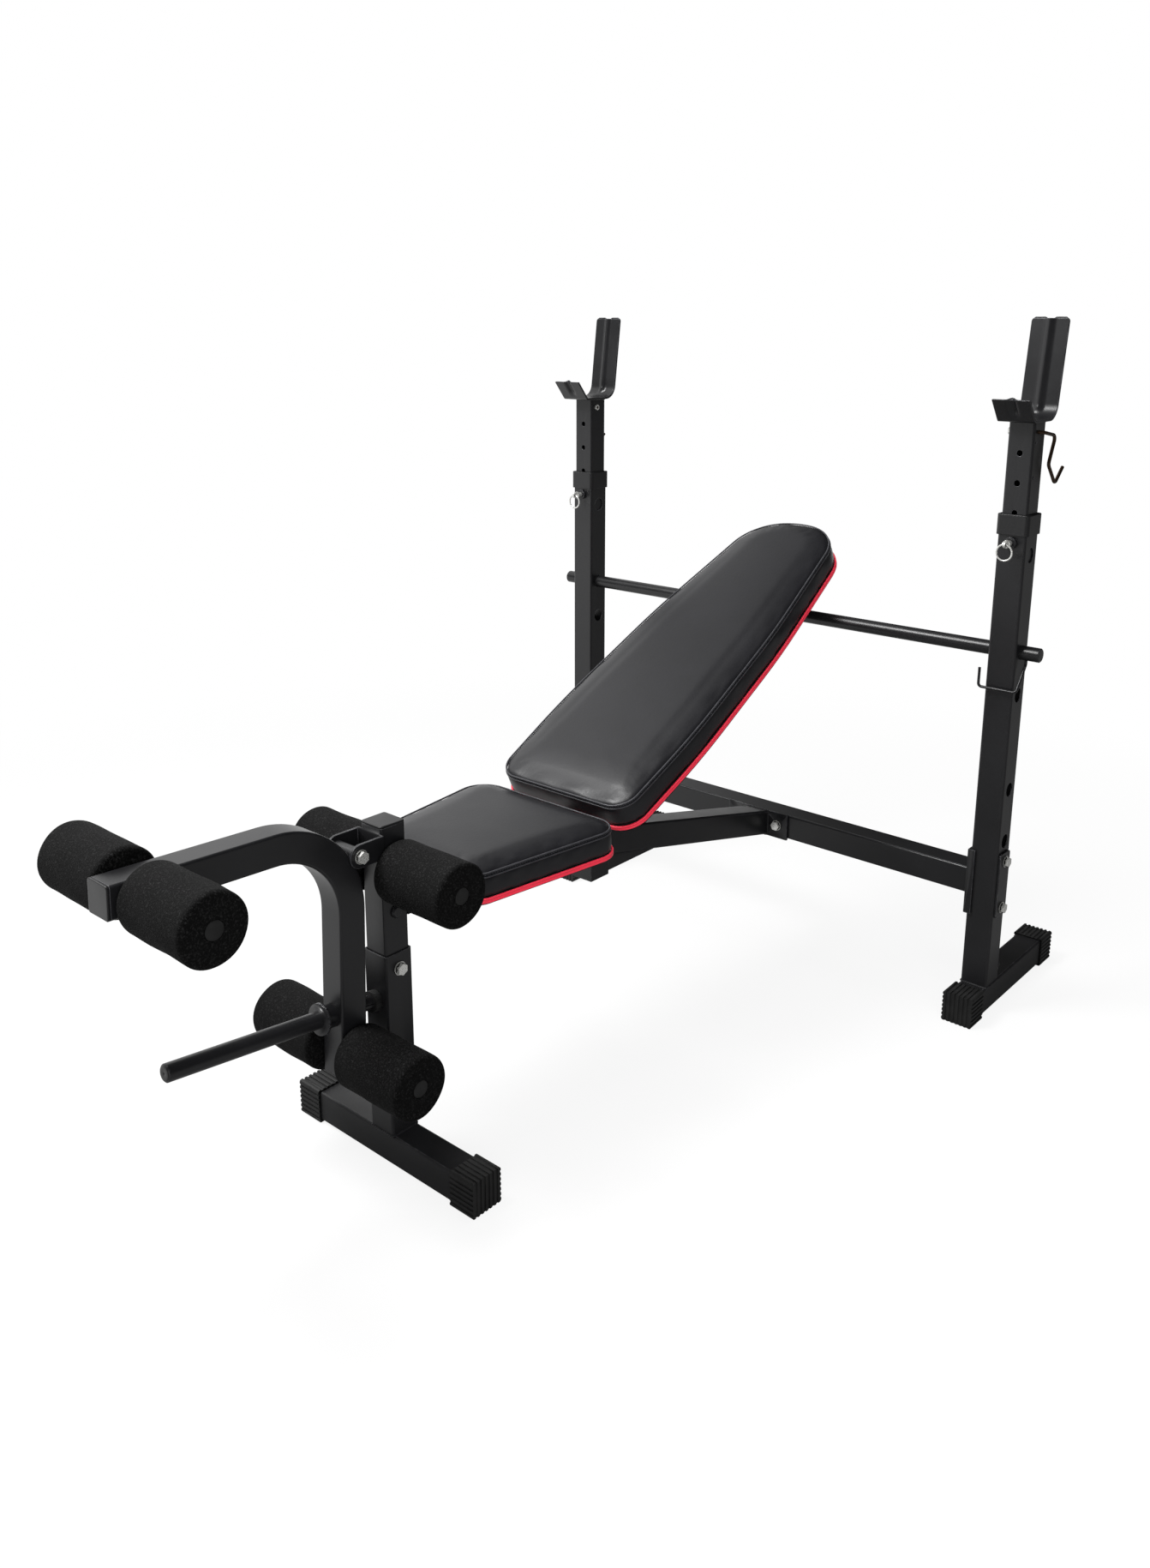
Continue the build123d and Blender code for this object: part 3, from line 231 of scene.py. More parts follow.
def put_mesh(name, points, faces, finish, body):
    """Mesh from arrays: doubles merged, faces turned outwards and shaded smooth; it rides on a body."""
    mesh = bpy.data.meshes.new(name)
    mesh.from_pydata(np.asarray(points).reshape(-1, 3).tolist(), [], np.asarray(faces).tolist())
    work = bmesh.new()
    work.from_mesh(mesh)
    bmesh.ops.remove_doubles(work, verts=work.verts, dist=1e-6)
    bmesh.ops.recalc_face_normals(work, faces=work.faces)
    work.to_mesh(mesh)
    work.free()
    mesh.polygons.foreach_set("use_smooth", np.ones(len(mesh.polygons), dtype=bool))
    mesh.materials.append(finish)
    piece = bpy.data.objects.new(name, mesh)
    bpy.context.scene.collection.objects.link(piece)
    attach(piece, body)
    return piece


def weld_bead(name, width, height, place, body):
    """A circle carried round a rounded rectangle; its radius swells by a sixth once in every ripple."""
    x, y = width / 2, height / 2
    loop, out, girth = rounded([(-x, -y), (x, -y), (x, y), (-x, y)], [WELD_CORNER] * 4, WELD_STEPS)
    turn = np.linspace(0, 2 * np.pi, WELD_SIDES, endpoint=False)
    ripples = round(girth / WELD_RIPPLE)
    wave = np.sin(np.linspace(0, 2 * np.pi * ripples, WELD_STEPS, endpoint=False))
    thick = WELD_RADIUS * (1 + wave / 6)[:, None]
    flat = loop[:, None, :] + out[:, None, :] * (thick * np.cos(turn))[..., None]
    spots = place(flat[..., 0], flat[..., 1], thick * np.sin(turn))
    points = np.stack(np.broadcast_arrays(*spots), axis=-1)
    faces = grid_faces(WELD_STEPS, WELD_SIDES, close_rows=True)
    put_mesh(name, points, faces, coat, body)


weld_bead("front_post_weld", TUBE, TUBE,
          lambda a, b, c: (a, b + FRONT_POST_Y, c + FLOOR_TUBE_TOP), "frame")
weld_bead("spine_weld", TUBE, SPINE_CUT,
          lambda a, b, c: (a, SPINE_END_Y - c, b + BEAM_Z), "frame")
for side, body in ((1, "post_right"), (-1, "post_left")):
    weld_bead(body + "_foot_weld", TUBE, TUBE,
              lambda a, b, c: (a + side * COLUMN_X, b + COLUMN_Y, c + FLOOR_TUBE_TOP), "frame")
    weld_bead(body + "_beam_weld", TUBE, TUBE,
              lambda a, b, c: (side * (BEAM_END_X - c), a + COLUMN_Y, b + BEAM_Z), "frame")
    weld_bead(body + "_cradle_weld", INNER_TUBE, INNER_TUBE,
              lambda a, b, c: (a + side * COLUMN_X, b + COLUMN_Y, POST_TOP - c), body)

# Foot caps, pressed over the ends of the floor tubes.
# Moulded in black rubber with square ribs, matte and dusty in clouds.


def moulded_rubber():
    """Black rubber from a spark-eroded mould: matte, grain of 0.8 mm, dust in clouds of 18 mm."""
    rubber, place = blank("black_moulded_rubber")
    cloud = add(rubber, "TexNoise", {"Vector": place, "Scale": 1000 / 18, "Detail": 5.0}).outputs["Fac"]
    dust = add(rubber, "MapRange", {"Value": cloud, "From Min": 0.35, "From Max": 0.7}).outputs["Result"]
    colour = add(rubber, "Mix", {SHARE: dust, FROM: linear("#101010"), TO: linear("#1c1c1c")},
                 data_type="RGBA").outputs[MIXED]
    grain = add(rubber, "TexNoise", {"Vector": place, "Scale": 1000 / 0.8, "Detail": 2.0}).outputs["Fac"]
    pitted = add(rubber, "Bump", {"Height": grain, "Distance": 0.00008}).outputs["Normal"]
    matte = add(rubber, "MapRange", {"Value": cloud, "To Min": 0.55, "To Max": 0.72}).outputs["Result"]
    shader = add(rubber, "BsdfPrincipled", {"Base Color": colour, "Roughness": matte, "IOR": 1.5,
                                            "Normal": pitted})
    add(rubber, "OutputMaterial", {"Surface": shader.outputs[0]})
    return rubber


rubber = moulded_rubber()
dress("foot_caps", rubber)

# Inner posts, which slide in the columns, each through a collar pushed over its column's top.
# The posts are the same powder-coated square tube, and the collars are moulded polypropylene.
# The plate on a post's top is cut from its copy here, because the next section bends a new one.
CUT_MARGIN = 1e-5


def moulded_plastic():
    """Black polypropylene: spark grain of 0.7 mm and a soft sheen that varies in patches of 25 mm."""
    plastic, place = blank("black_moulded_plastic")
    cloud = add(plastic, "TexNoise", {"Vector": place, "Scale": 1000 / 25, "Detail": 4.0}).outputs["Fac"]
    colour = add(plastic, "Mix", {SHARE: cloud, FROM: linear("#101011"), TO: linear("#1b1b1c")},
                 data_type="RGBA").outputs[MIXED]
    grain = add(plastic, "TexVoronoi", {"Vector": place, "Scale": 1000 / 0.7}).outputs["Distance"]
    soft_edge = add(plastic, "Bevel", {"Radius": 0.0015}, samples=6).outputs["Normal"]
    pitted = add(plastic, "Bump", {"Height": grain, "Distance": 0.00003,
                                   "Normal": soft_edge}).outputs["Normal"]
    sheen = add(plastic, "MapRange", {"Value": cloud, "To Min": 0.33, "To Max": 0.45}).outputs["Result"]
    shader = add(plastic, "BsdfPrincipled", {"Base Color": colour, "Roughness": sheen, "IOR": 1.49,
                                             "Normal": pitted})
    add(plastic, "OutputMaterial", {"Surface": shader.outputs[0]})
    return plastic


plastic = moulded_plastic()
for name in ("inner_post_right", "inner_post_left"):
    post = dress(name, coat)
    middle = np.empty(len(post.data.polygons) * 3)
    post.data.polygons.foreach_get("center", middle)
    plate = np.nonzero(middle[2::3] > POST_TOP - CUT_MARGIN)[0]
    work = bmesh.new()
    work.from_mesh(post.data)
    work.faces.ensure_lookup_table()
    bmesh.ops.delete(work, geom=[work.faces[i] for i in plate], context="FACES")
    work.to_mesh(post.data)
    work.free()
dress("collars", plastic)

# Bar cradles, each one strip of plate, bent up into a short lip and a tall back with rounded top corners.
# A bead pressed up the lip and up the back stiffens it.
# Each is welded on its inner post and powder-coated with it.
CRADLE_SIDE = [(-0.075, 0.035), (-0.046, 0.0), (0.0398, 0.0), (0.060, 0.164)]
CRADLE_BENDS = [0.00001, 0.006, 0.028, 0.00001]
CRADLE_HALF = 0.032
CRADLE_PLATE = 0.004
CRADLE_CORNER = 0.006
CRADLE_ANGLE = 40
CRADLE_SEAT = (COLUMN_X, COLUMN_Y, POST_TOP + CRADLE_PLATE / 2)
BEAD_HALF = 0.0105
BEAD_RISE = 0.0050
BEAD_START = 0.004
BEAD_FADE = 0.014
STRIP_STEPS = 640
STRIP_ACROSS = 37


def bent_strip(side):
    """Plate carried along its side view: near the top a quarter circle narrows it, and along its middle a
    raised-cosine bead grows out of the bends by a smoothstep of the height."""
    line, out, girth = rounded(CRADLE_SIDE, CRADLE_BENDS, STRIP_STEPS)
    rows = np.linalg.norm(line - np.array(CRADLE_SIDE[-1]), axis=1).argmin() + 1
    line, out = line[:rows], out[:rows]
    left = np.minimum(np.arange(rows)[::-1] * girth / STRIP_STEPS, CRADLE_CORNER)
    half = CRADLE_HALF - CRADLE_CORNER + np.sqrt(CRADLE_CORNER ** 2 - (CRADLE_CORNER - left) ** 2)
    across = half[:, None] * np.linspace(-1, 1, STRIP_ACROSS)
    fade = np.clip((line[:, 1] - BEAD_START) / BEAD_FADE, 0, 1)[:, None]
    hump = 1 + np.cos(np.pi * np.clip(across / BEAD_HALF, -1, 1))
    bead = BEAD_RISE / 2 * hump * fade ** 2 * (3 - 2 * fade)
    bead = np.concatenate([bead, bead[:, ::-1]], axis=1)
    faces_apart = np.repeat([CRADLE_PLATE / 2, -CRADLE_PLATE / 2], STRIP_ACROSS)
    lift = np.concatenate([bead[:1], bead + faces_apart, bead[-1:]])
    closed = np.clip(np.arange(-1, rows + 1), 0, rows - 1)
    x = np.concatenate([across, across[:, ::-1]], axis=1)[closed]
    line, out = line[closed], out[closed]
    shape = [x, line[:, :1] - out[:, :1] * lift, line[:, 1:] - out[:, 1:] * lift]
    return np.stack(shape, axis=-1) + np.array(CRADLE_SEAT) * (side, 1, 1)


for side, name in ((1, "right"), (-1, "left")):
    strip = bent_strip(side)
    cradle = put_mesh("cradle_" + name, strip, grid_faces(*strip.shape[:2]), coat, "post_" + name)
    cradle.data.set_sharp_from_angle(angle=math.radians(CRADLE_ANGLE))

# Pull pins with their rings, in black bosses on the columns, and the bright bolts, washers, nuts and screws.
# Cold-formed steel with a bright zinc plate: it mirrors the room, but the plate is a little cloudy and
# scuffed, and its corners and gaps are darkened with painted shade.


def zinc_plate():
    """Bright zinc plate: metallic grey, clouds of 6 mm, scuffs of 1.2 mm that dull the gloss, and painted
    shade in corners, near black where less than nine tenths of the air within 3.5 mm is open."""
    zinc, place = blank("bright_zinc_plate")
    cloud = add(zinc, "TexNoise", {"Vector": place, "Scale": 1000 / 6, "Detail": 4.0}).outputs["Fac"]
    plate = add(zinc, "Mix", {SHARE: cloud, FROM: linear("#d8d8d4"), TO: linear("#f6f6f2")},
                data_type="RGBA").outputs[MIXED]
    # Painted shade: ambient occlusion within 3.5 mm turns the plate's colour towards near-black in corners
    # and gaps between parts.
    open_air = add(zinc, "AmbientOcclusion", {"Distance": 0.0035}, samples=12).outputs["AO"]
    corner_painted_shade = add(zinc, "MapRange", {"Value": open_air, "From Min": 0.90, "From Max": 0.55}).outputs["Result"]
    colour = add(zinc, "Mix", {SHARE: corner_painted_shade, FROM: plate, TO: linear("#171614")},
                 data_type="RGBA").outputs[MIXED]
    scuff = add(zinc, "TexNoise", {"Vector": place, "Scale": 1000 / 1.2, "Detail": 3.0}).outputs["Fac"]
    gloss = add(zinc, "MapRange", {"Value": scuff, "To Min": 0.16, "To Max": 0.40}).outputs["Result"]
    worn = add(zinc, "Bump", {"Height": scuff, "Distance": 0.00002}).outputs["Normal"]
    shader = add(zinc, "BsdfPrincipled", {"Base Color": colour, "Metallic": 0.7, "Roughness": gloss,
                                          "Normal": worn})
    add(zinc, "OutputMaterial", {"Surface": shader.outputs[0]})
    return zinc


zinc = zinc_plate()
dress("pin_bosses", coat)
for name in ("pin_right", "pin_left", "ring_right", "ring_left", "bolts", "washers", "nuts", "seat_screws",
             "back_screws", "hook_nut_right", "hook_nut_left"):
    dress(name, zinc)

# Safety hooks, bent cold from hard-drawn steel wire and held in the inner posts by a nut.
# The wire is browned in salts, so it is a dark bronze that varies in clouds, with fine marks of the die.
WIRE_ANGLE = 60


def browned_wire():
    """Browned spring wire: dark bronze metal, clouds of 9 mm and die marks of 0.6 mm."""
    bronze, place = blank("browned_spring_wire")
    cloud = add(bronze, "TexNoise", {"Vector": place, "Scale": 1000 / 9, "Detail": 4.0}).outputs["Fac"]
    colour = add(bronze, "Mix", {SHARE: cloud, FROM: linear("#2a211a"), TO: linear("#574537")},
                 data_type="RGBA").outputs[MIXED]
    drawn = add(bronze, "TexNoise", {"Vector": place, "Scale": 1000 / 0.6, "Detail": 2.0}).outputs["Fac"]
    marks = add(bronze, "Bump", {"Height": drawn, "Distance": 0.00002}).outputs["Normal"]
    gloss = add(bronze, "MapRange", {"Value": cloud, "To Min": 0.30, "To Max": 0.46}).outputs["Result"]
    shader = add(bronze, "BsdfPrincipled", {"Base Color": colour, "Metallic": 0.8, "Roughness": gloss,
                                            "Normal": marks})
    add(bronze, "OutputMaterial", {"Surface": shader.outputs[0]})
    return bronze


bronze = browned_wire()
dress("hook_right", bronze, WIRE_ANGLE)
dress("hook_left", bronze, WIRE_ANGLE)

# Support bar under the backrest, pushed through the columns, with a wire clip that keeps it there.
# Round steel bar and bent wire, both powder-coated with the frame.
dress("support_bar", coat)
dress("bar_clip", coat, WIRE_ANGLE)

# Receiver post with the clevis for the leg developer, its plastic cap, its black button bolt and set screw.
# Square tube with the clevis plates welded on its front, powder-coated; it telescopes in the front base.
dress("receiver_post", coat)
dress("receiver_cap", plastic)
dress("button_bolt", coat)
dress("set_screw", coat)

# Leg developer: a bent square tube on a sleeve, with two roller bars through it; a third bar, for the knees,
# goes through the receiver post. All are powder-coated tube, with plastic plugs driven into the square ends
# and rubber ones into the bars.
for name in ("lever", "knee_bar", "upper_bar", "lower_bar"):
    dress(name, coat)
dress("lever_plugs", plastic)
for name in ("knee_bar_plugs", "lever_bar_plugs"):
    dress(name, rubber)

# Plate post of the leg developer: round bar with a welded hub and stop ring, a rubber bumper behind the leg
# and a moulded plug with a sprue dimple in its free end.
POST_TIP = np.array([0.0, -0.79713, 0.31778])
POST_AXIS = np.array([0.0, -0.992332, 0.123601])
PLUG_TURN = np.array([(0.0, 0.0002), (0.0012, 0.0003), (0.0019, 0.0008), (0.0026, 0.0010), (0.0070, 0.0011),
                      (0.0094, 0.0009), (0.0103, 0.0004), (0.0105, -0.0004), (0.0105, -0.0020),
                      (0.0, -0.0020)])
PLUG_SIDES = 40
dress("plate_post", coat)
dress("bumper", rubber)


def lathe(turned, origin, axis, sides):
    """Turns a profile of (radius, height) about an axis in the YZ plane."""
    angle = np.linspace(0, 2 * np.pi, sides, endpoint=False)
    radius, height = turned[:, 0][:, None, None], turned[:, 1][:, None, None]
    across, over = np.array([1.0, 0.0, 0.0]), np.cross(axis, [1.0, 0.0, 0.0])
    ring = np.cos(angle)[None, :, None] * across + np.sin(angle)[None, :, None] * over
    return origin + radius * ring + height * axis


put_mesh("plate_post_plug", lathe(PLUG_TURN, POST_TIP, POST_AXIS, PLUG_SIDES),
         grid_faces(len(PLUG_TURN), PLUG_SIDES), plastic, "lever")

# Foam rollers, pushed over the roller bars up to their plugs.
# Closed-cell rubber foam cut from an extruded tube: pitted, matte and soft-edged, flecked with pale dust,
# and a little dished at its cut ends.
FOAM_EDGE = 0.0065
FOAM_BORE = 0.0134
FOAM_DISH = 0.0012
FOAM_LIP_DEEP = 0.006
FOAM_LIP_IN = 0.0006
FOAM_RIPPLE = 0.0004
FOAM_RIPPLE_FROM = 0.03
FOAM_RIM_STEPS = 9
FOAM_FACE_STEPS = 7
FOAM_ROWS = 26
FOAM_SIDES = 72


def rubber_foam():
    """Closed-cell rubber foam: cells of 1.6 mm and flecks of 2.6 mm, both drawn coarser than life so that
    they show."""
    foam, place = blank("black_rubber_foam")
    fleck = add(foam, "TexNoise", {"Vector": place, "Scale": 1000 / 2.6, "Detail": 5.0,
                                   "Roughness": 0.75}).outputs["Fac"]
    pale = add(foam, "MapRange", {"Value": fleck, "From Min": 0.52, "From Max": 0.72}).outputs["Result"]
    colour = add(foam, "Mix", {SHARE: pale, FROM: linear("#080808"), TO: linear("#2e2e2e")},
                 data_type="RGBA").outputs[MIXED]
    cell = add(foam, "TexVoronoi", {"Vector": place, "Scale": 1000 / 1.6}).outputs["Distance"]
    pits = add(foam, "Bump", {"Height": cell, "Distance": 0.0004, "Strength": 0.7}).outputs["Normal"]
    crumb = add(foam, "Bump", {"Height": fleck, "Distance": 0.0008, "Strength": 0.9,
                               "Normal": pits}).outputs["Normal"]
    dry = add(foam, "MapRange", {"Value": fleck, "To Min": 0.85, "To Max": 1.0}).outputs["Result"]
    shader = add(foam, "BsdfPrincipled", {"Base Color": colour, "Roughness": dry, "IOR": 1.3,
                                          "Normal": crumb})
    add(foam, "OutputMaterial", {"Surface": shader.outputs[0]})
    return foam


def foam_sleeve(low, high, seed):
    """Ring of (x, radius) turned about X: quarter-circle rims, ends dished by half a sine and a lip in the
    bore. The skin ripples by three waves round times one in 105 mm along, plus a spiral of five waves."""
    outer = (high[2] - low[2]) / 2
    turn = np.linspace(0, np.pi / 2, FOAM_RIM_STEPS)
    rim_x, rim_r = FOAM_EDGE * (1 - np.sin(turn)), outer - FOAM_EDGE * (1 - np.cos(turn))
    face = np.linspace(outer - FOAM_EDGE, FOAM_BORE, FOAM_FACE_STEPS)[1:]
    dish = FOAM_DISH * np.sin(np.linspace(0, np.pi, FOAM_FACE_STEPS))[1:]
    end_x = np.concatenate([rim_x, dish, [FOAM_LIP_DEEP]])
    end_r = np.concatenate([rim_r, face, [FOAM_BORE - FOAM_LIP_IN]])
    skin_x = np.linspace(low[0] + FOAM_EDGE, high[0] - FOAM_EDGE, FOAM_ROWS)[1:-1]
    x = np.concatenate([(low[0] + end_x)[::-1], skin_x, high[0] - end_x])
    r = np.concatenate([end_r[::-1], np.full(len(skin_x), outer), end_r])[:, None]
    x, angle = np.meshgrid(x, np.linspace(0, 2 * np.pi, FOAM_SIDES, endpoint=False), indexing="ij")
    wave = np.sin(3 * angle + seed) * np.sin(60 * x + 2 * seed) + 0.6 * np.sin(5 * angle - 90 * x + seed)
    r = r + FOAM_RIPPLE * wave * (r > FOAM_RIPPLE_FROM)
    middle = (np.asarray(low) + np.asarray(high)) / 2
    return np.stack([x, middle[1] + r * np.cos(angle), middle[2] + r * np.sin(angle)], axis=-1)


foam = rubber_foam()
for seed, name in enumerate(("knee_roller_right", "knee_roller_left", "upper_roller_right",
                             "upper_roller_left", "lower_roller_right", "lower_roller_left")):
    skin = foam_sleeve(*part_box(name), seed)
    piece = put_mesh(name + "_foam", skin, grid_faces(*skin.shape[:2], close_rows=True), foam,
                     nodes[name]["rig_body"])
    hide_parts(name)

# Backrest frame: two rails on the hinge axle, tied together and screwed to the back board.
# Square tube, welded and powder-coated; only its underside shows once the pad is on.
dress("back_frame", coat)

# Boards under the seat and the back: plywood wrapped in black non-woven cloth.
# Both are screwed to the steel from below.


def backing_cloth():
    """Black spun polypropylene cloth: clouds of 12 mm, fibres of 1.2 mm, pressed into dots of 3 mm, and fully
    matte."""
    cloth, place = blank("black_backing_cloth")
    cloud = add(cloth, "TexNoise", {"Vector": place, "Scale": 1000 / 12, "Detail": 4.0}).outputs["Fac"]
    colour = add(cloth, "Mix", {SHARE: cloud, FROM: linear("#101010"), TO: linear("#1d1d1d")},
                 data_type="RGBA").outputs[MIXED]
    fibre = add(cloth, "TexNoise", {"Vector": place, "Scale": 1000 / 1.2, "Detail": 5.0,
                                    "Distortion": 2.0}).outputs["Fac"]
    dot = add(cloth, "TexVoronoi", {"Vector": place, "Scale": 1000 / 3,
                                    "Randomness": 0.2}).outputs["Distance"]
    felted = add(cloth, "Bump", {"Height": fibre, "Distance": 0.00015}).outputs["Normal"]
    pressed = add(cloth, "Bump", {"Height": dot, "Distance": 0.0002, "Normal": felted}).outputs["Normal"]
    dry = add(cloth, "MapRange", {"Value": fibre, "To Min": 0.82, "To Max": 0.96}).outputs["Result"]
    shader = add(cloth, "BsdfPrincipled", {"Base Color": colour, "Roughness": dry, "IOR": 1.4,
                                           "Normal": pressed})
    add(cloth, "OutputMaterial", {"Surface": shader.outputs[0]})
    return cloth


cloth = backing_cloth()
dress("seat_board", cloth)
dress("back_board", cloth)

# Seat and back cushions: foam on the boards under black upholstery vinyl, a top panel sewn to a boxing.
# The vinyl is pulled over the foam and stapled below, so the top is crowned, rolls over to the seam all round
# and the boxing swells a little between the seam and the edging.
SEAT_DEPTH = 0.038
SEAT_SEAM_Z = 0.4754
SEAT_CORNERS = [(-0.122, -0.37253), (0.122, -0.37253), (0.163, -0.06853), (-0.163, -0.06853)]
SEAT_RADII = [0.046] * 4
SEAT_MIDDLE = (-0.27, -0.17)
BACK_DEPTH = 0.044
BACK_TILT = math.radians(26.5)
BACK_FOOT = (-0.04853, 0.49197)
BACK_CORNERS = [(-0.143, -0.006), (0.143, -0.006), (0.151, 0.190), (0.138, 0.480), (0.099, 0.798),
                (0.0, 0.809), (-0.099, 0.798), (-0.138, 0.480), (-0.151, 0.190)]
BACK_RADII = [0.044, 0.044, 1.8, 1.8, 0.098, 0.150, 0.098, 1.8, 1.8]
BACK_MIDDLE = (0.12, 0.66)
EDGE_STEPS = 480
SEAM_INSET = 0.0045
SEAM_V = -0.0020
BOXING = [(0.0010, -1.0), (0.0006, -0.9), (0.0004, -0.72), (0.0006, -0.48), (0.0014, -0.26)]
BELOW_SEAM = (0.0025, -0.0060)
ROLL_RUN = 0.036
ROLL_RISE = 0.0102
ROLL_POWER = 0.8
ROLL_SLOPE = 0.0008
ROLL_STEPS = 12
CROWN_RISE = 0.0015
CROWN_STEPS = 6
FOOT_RUN = 0.085
SKIN_VOXEL = 0.0055
PRESSURE = 4.0
PRESS_FRAMES = 20
SWELL_CAP = 0.0010
BASE_HELD = 0.004
SEAM_HELD = (-0.0095, 0.0012)
SEAM_PULL = 0.0009
SEAM_REACH = 0.0045
PUCKER_AWAY = 0.010
PUCKER_REACH = 0.007


def soft_vinyl():
    """Black upholstery vinyl: pebble grain of 1.6 mm, creases of 6 mm, slow clouds of 70 mm, satin gloss."""
    vinyl, place = blank("black_upholstery_vinyl")
    cloud = add(vinyl, "TexNoise", {"Vector": place, "Scale": 1000 / 70, "Detail": 4.0}).outputs["Fac"]
    colour = add(vinyl, "Mix", {SHARE: cloud, FROM: linear("#121214"), TO: linear("#1a1a1d")},
                 data_type="RGBA").outputs[MIXED]
    pebble = add(vinyl, "TexVoronoi", {"Vector": place, "Scale": 1000 / 1.6},
                 feature="SMOOTH_F1").outputs["Distance"]
    crease = add(vinyl, "TexNoise", {"Vector": place, "Scale": 1000 / 6, "Detail": 5.0}).outputs["Fac"]
    grain = add(vinyl, "Bump", {"Height": pebble, "Distance": 0.00006}).outputs["Normal"]
    soft = add(vinyl, "Bump", {"Height": crease, "Distance": 0.00012, "Normal": grain}).outputs["Normal"]
    satin = add(vinyl, "MapRange", {"Value": cloud, "To Min": 0.36, "To Max": 0.45}).outputs["Result"]
    shader = add(vinyl, "BsdfPrincipled", {"Base Color": colour, "Roughness": satin, "IOR": 1.47,
                                           "Normal": soft})
    add(vinyl, "OutputMaterial", {"Surface": shader.outputs[0]})
    return vinyl


def seat_place(x, y, v):
    """Pad coordinates to the frame: the seat lies level, v above its seam plane."""
    return np.stack(np.broadcast_arrays(x, y, v + SEAT_SEAM_Z), axis=-1)


def back_place(x, u, v):
    """Pad coordinates to the frame: u runs up the leaning back, v along its normal."""
    lean, rise = math.cos(BACK_TILT), math.sin(BACK_TILT)
    y = BACK_FOOT[0] + u * lean - v * rise
    z = BACK_FOOT[1] + u * rise + v * lean
    return np.stack(np.broadcast_arrays(x, y, z), axis=-1)


def pad_form(edge, normal, middle, place, depth):
    """Closed pad: the boxing as (inset, share of the depth), then a roll that rises over s from 0 to 1 as
    (1 - (1 - s)^2)^0.8 plus a straight slope, which a quarter sine carries on into the crown."""
    s = np.linspace(0, 1, ROLL_STEPS)
    roll = SEAM_V + ROLL_RISE * (1 - (1 - s) ** 2) ** ROLL_POWER + ROLL_SLOPE * s
    side = np.vstack([np.array(BOXING) * (1, depth), [BELOW_SEAM],
                      np.stack([SEAM_INSET + ROLL_RUN * s, roll], axis=-1)])
    ring = edge[None] - normal[None] * side[:, 0][:, None, None]
    share = np.linspace(0, 1, CROWN_STEPS + 1)[1:, None, None]
    top = ring[-1][None] * (1 - share) + middle[None] * share
    base = (ring[0][None] * (1 - share) + middle[None] * share)[::-1]
    crown = side[-1, 1] + CROWN_RISE * np.sin(share[:, 0, 0] * np.pi / 2)
    rise = np.concatenate([np.full(CROWN_STEPS, -depth), side[:, 1], crown])
    plan = np.concatenate([base, ring, top])
    return place(plan[..., 0], plan[..., 1], np.repeat(rise[:, None], len(edge), axis=1))


def bake_modifiers(piece):
    """Puts what the modifiers give into the piece's own mesh and drops them."""
    bpy.context.view_layer.update()
    shown = piece.evaluated_get(bpy.context.evaluated_depsgraph_get())
    made = bpy.data.meshes.new_from_object(shown)
    piece.modifiers.clear()
    piece.vertex_groups.clear()
    piece.data = made


def mesh_rows(mesh, what="co"):
    """The mesh's points, or their normals, as an array of rows."""
    rows = np.empty(len(mesh.vertices) * 3)
    mesh.vertices.foreach_get(what, rows)
    return rows.reshape(-1, 3)


def swell(piece, over, depth):
    """Voxel remesh, then cloth under pressure with the base and a band at the seam held. A point that moves
    by m ends at cap tanh(m / cap) from its start, and one subdivision smooths the skin."""
    even = piece.modifiers.new("even_skin", "REMESH")
    even.mode = "VOXEL"
    even.voxel_size = SKIN_VOXEL
    bake_modifiers(piece)
    start = mesh_rows(piece.data)
    v = over(start)
    held = piece.vertex_groups.new(name="held")
    stays = (v < BASE_HELD - depth) | ((v > SEAM_HELD[0]) & (v < SEAM_HELD[1]))
    held.add(np.nonzero(stays)[0].tolist(), 1.0, "REPLACE")
    pressed = piece.modifiers.new("foam_pressure", "CLOTH")
    pressed.settings.use_pressure = True
    pressed.settings.uniform_pressure_force = PRESSURE
    pressed.settings.effector_weights.gravity = 0.0
    pressed.settings.vertex_group_mass = "held"
    for moment in range(1, PRESS_FRAMES + 1):
        bpy.context.scene.frame_set(moment)
    bake_modifiers(piece)
    bpy.context.scene.frame_set(1)
    move = mesh_rows(piece.data) - start
    reach = np.linalg.norm(move, axis=1)[:, None]
    grown = start + move * SWELL_CAP * np.tanh(reach / SWELL_CAP) / np.maximum(reach, 1e-9)
    piece.data.vertices.foreach_set("co", grown.ravel())
    finer = piece.modifiers.new("finer_skin", "SUBSURF")
    finer.levels = finer.render_levels = 1
    bake_modifiers(piece)


def ease_foot(mesh, origin, along, up):
    """The back's lower end falls away: heights above the seam shrink by the ratio of two rolls, the long one
    of the foot and the pad's own."""
    points = mesh_rows(mesh)
    inward = np.maximum((points - origin) @ along - BACK_CORNERS[0][1] - SEAM_INSET, 1e-4)
    rolls = [1 - (1 - np.minimum(inward / run, 1)) ** 2 for run in (FOOT_RUN, ROLL_RUN)]
    drop = np.maximum((points - origin) @ up - SEAM_V, 0) * ((rolls[0] / rolls[1]) ** ROLL_POWER - 1)
    mesh.vertices.foreach_set("co", (points + drop[:, None] * up).ravel())


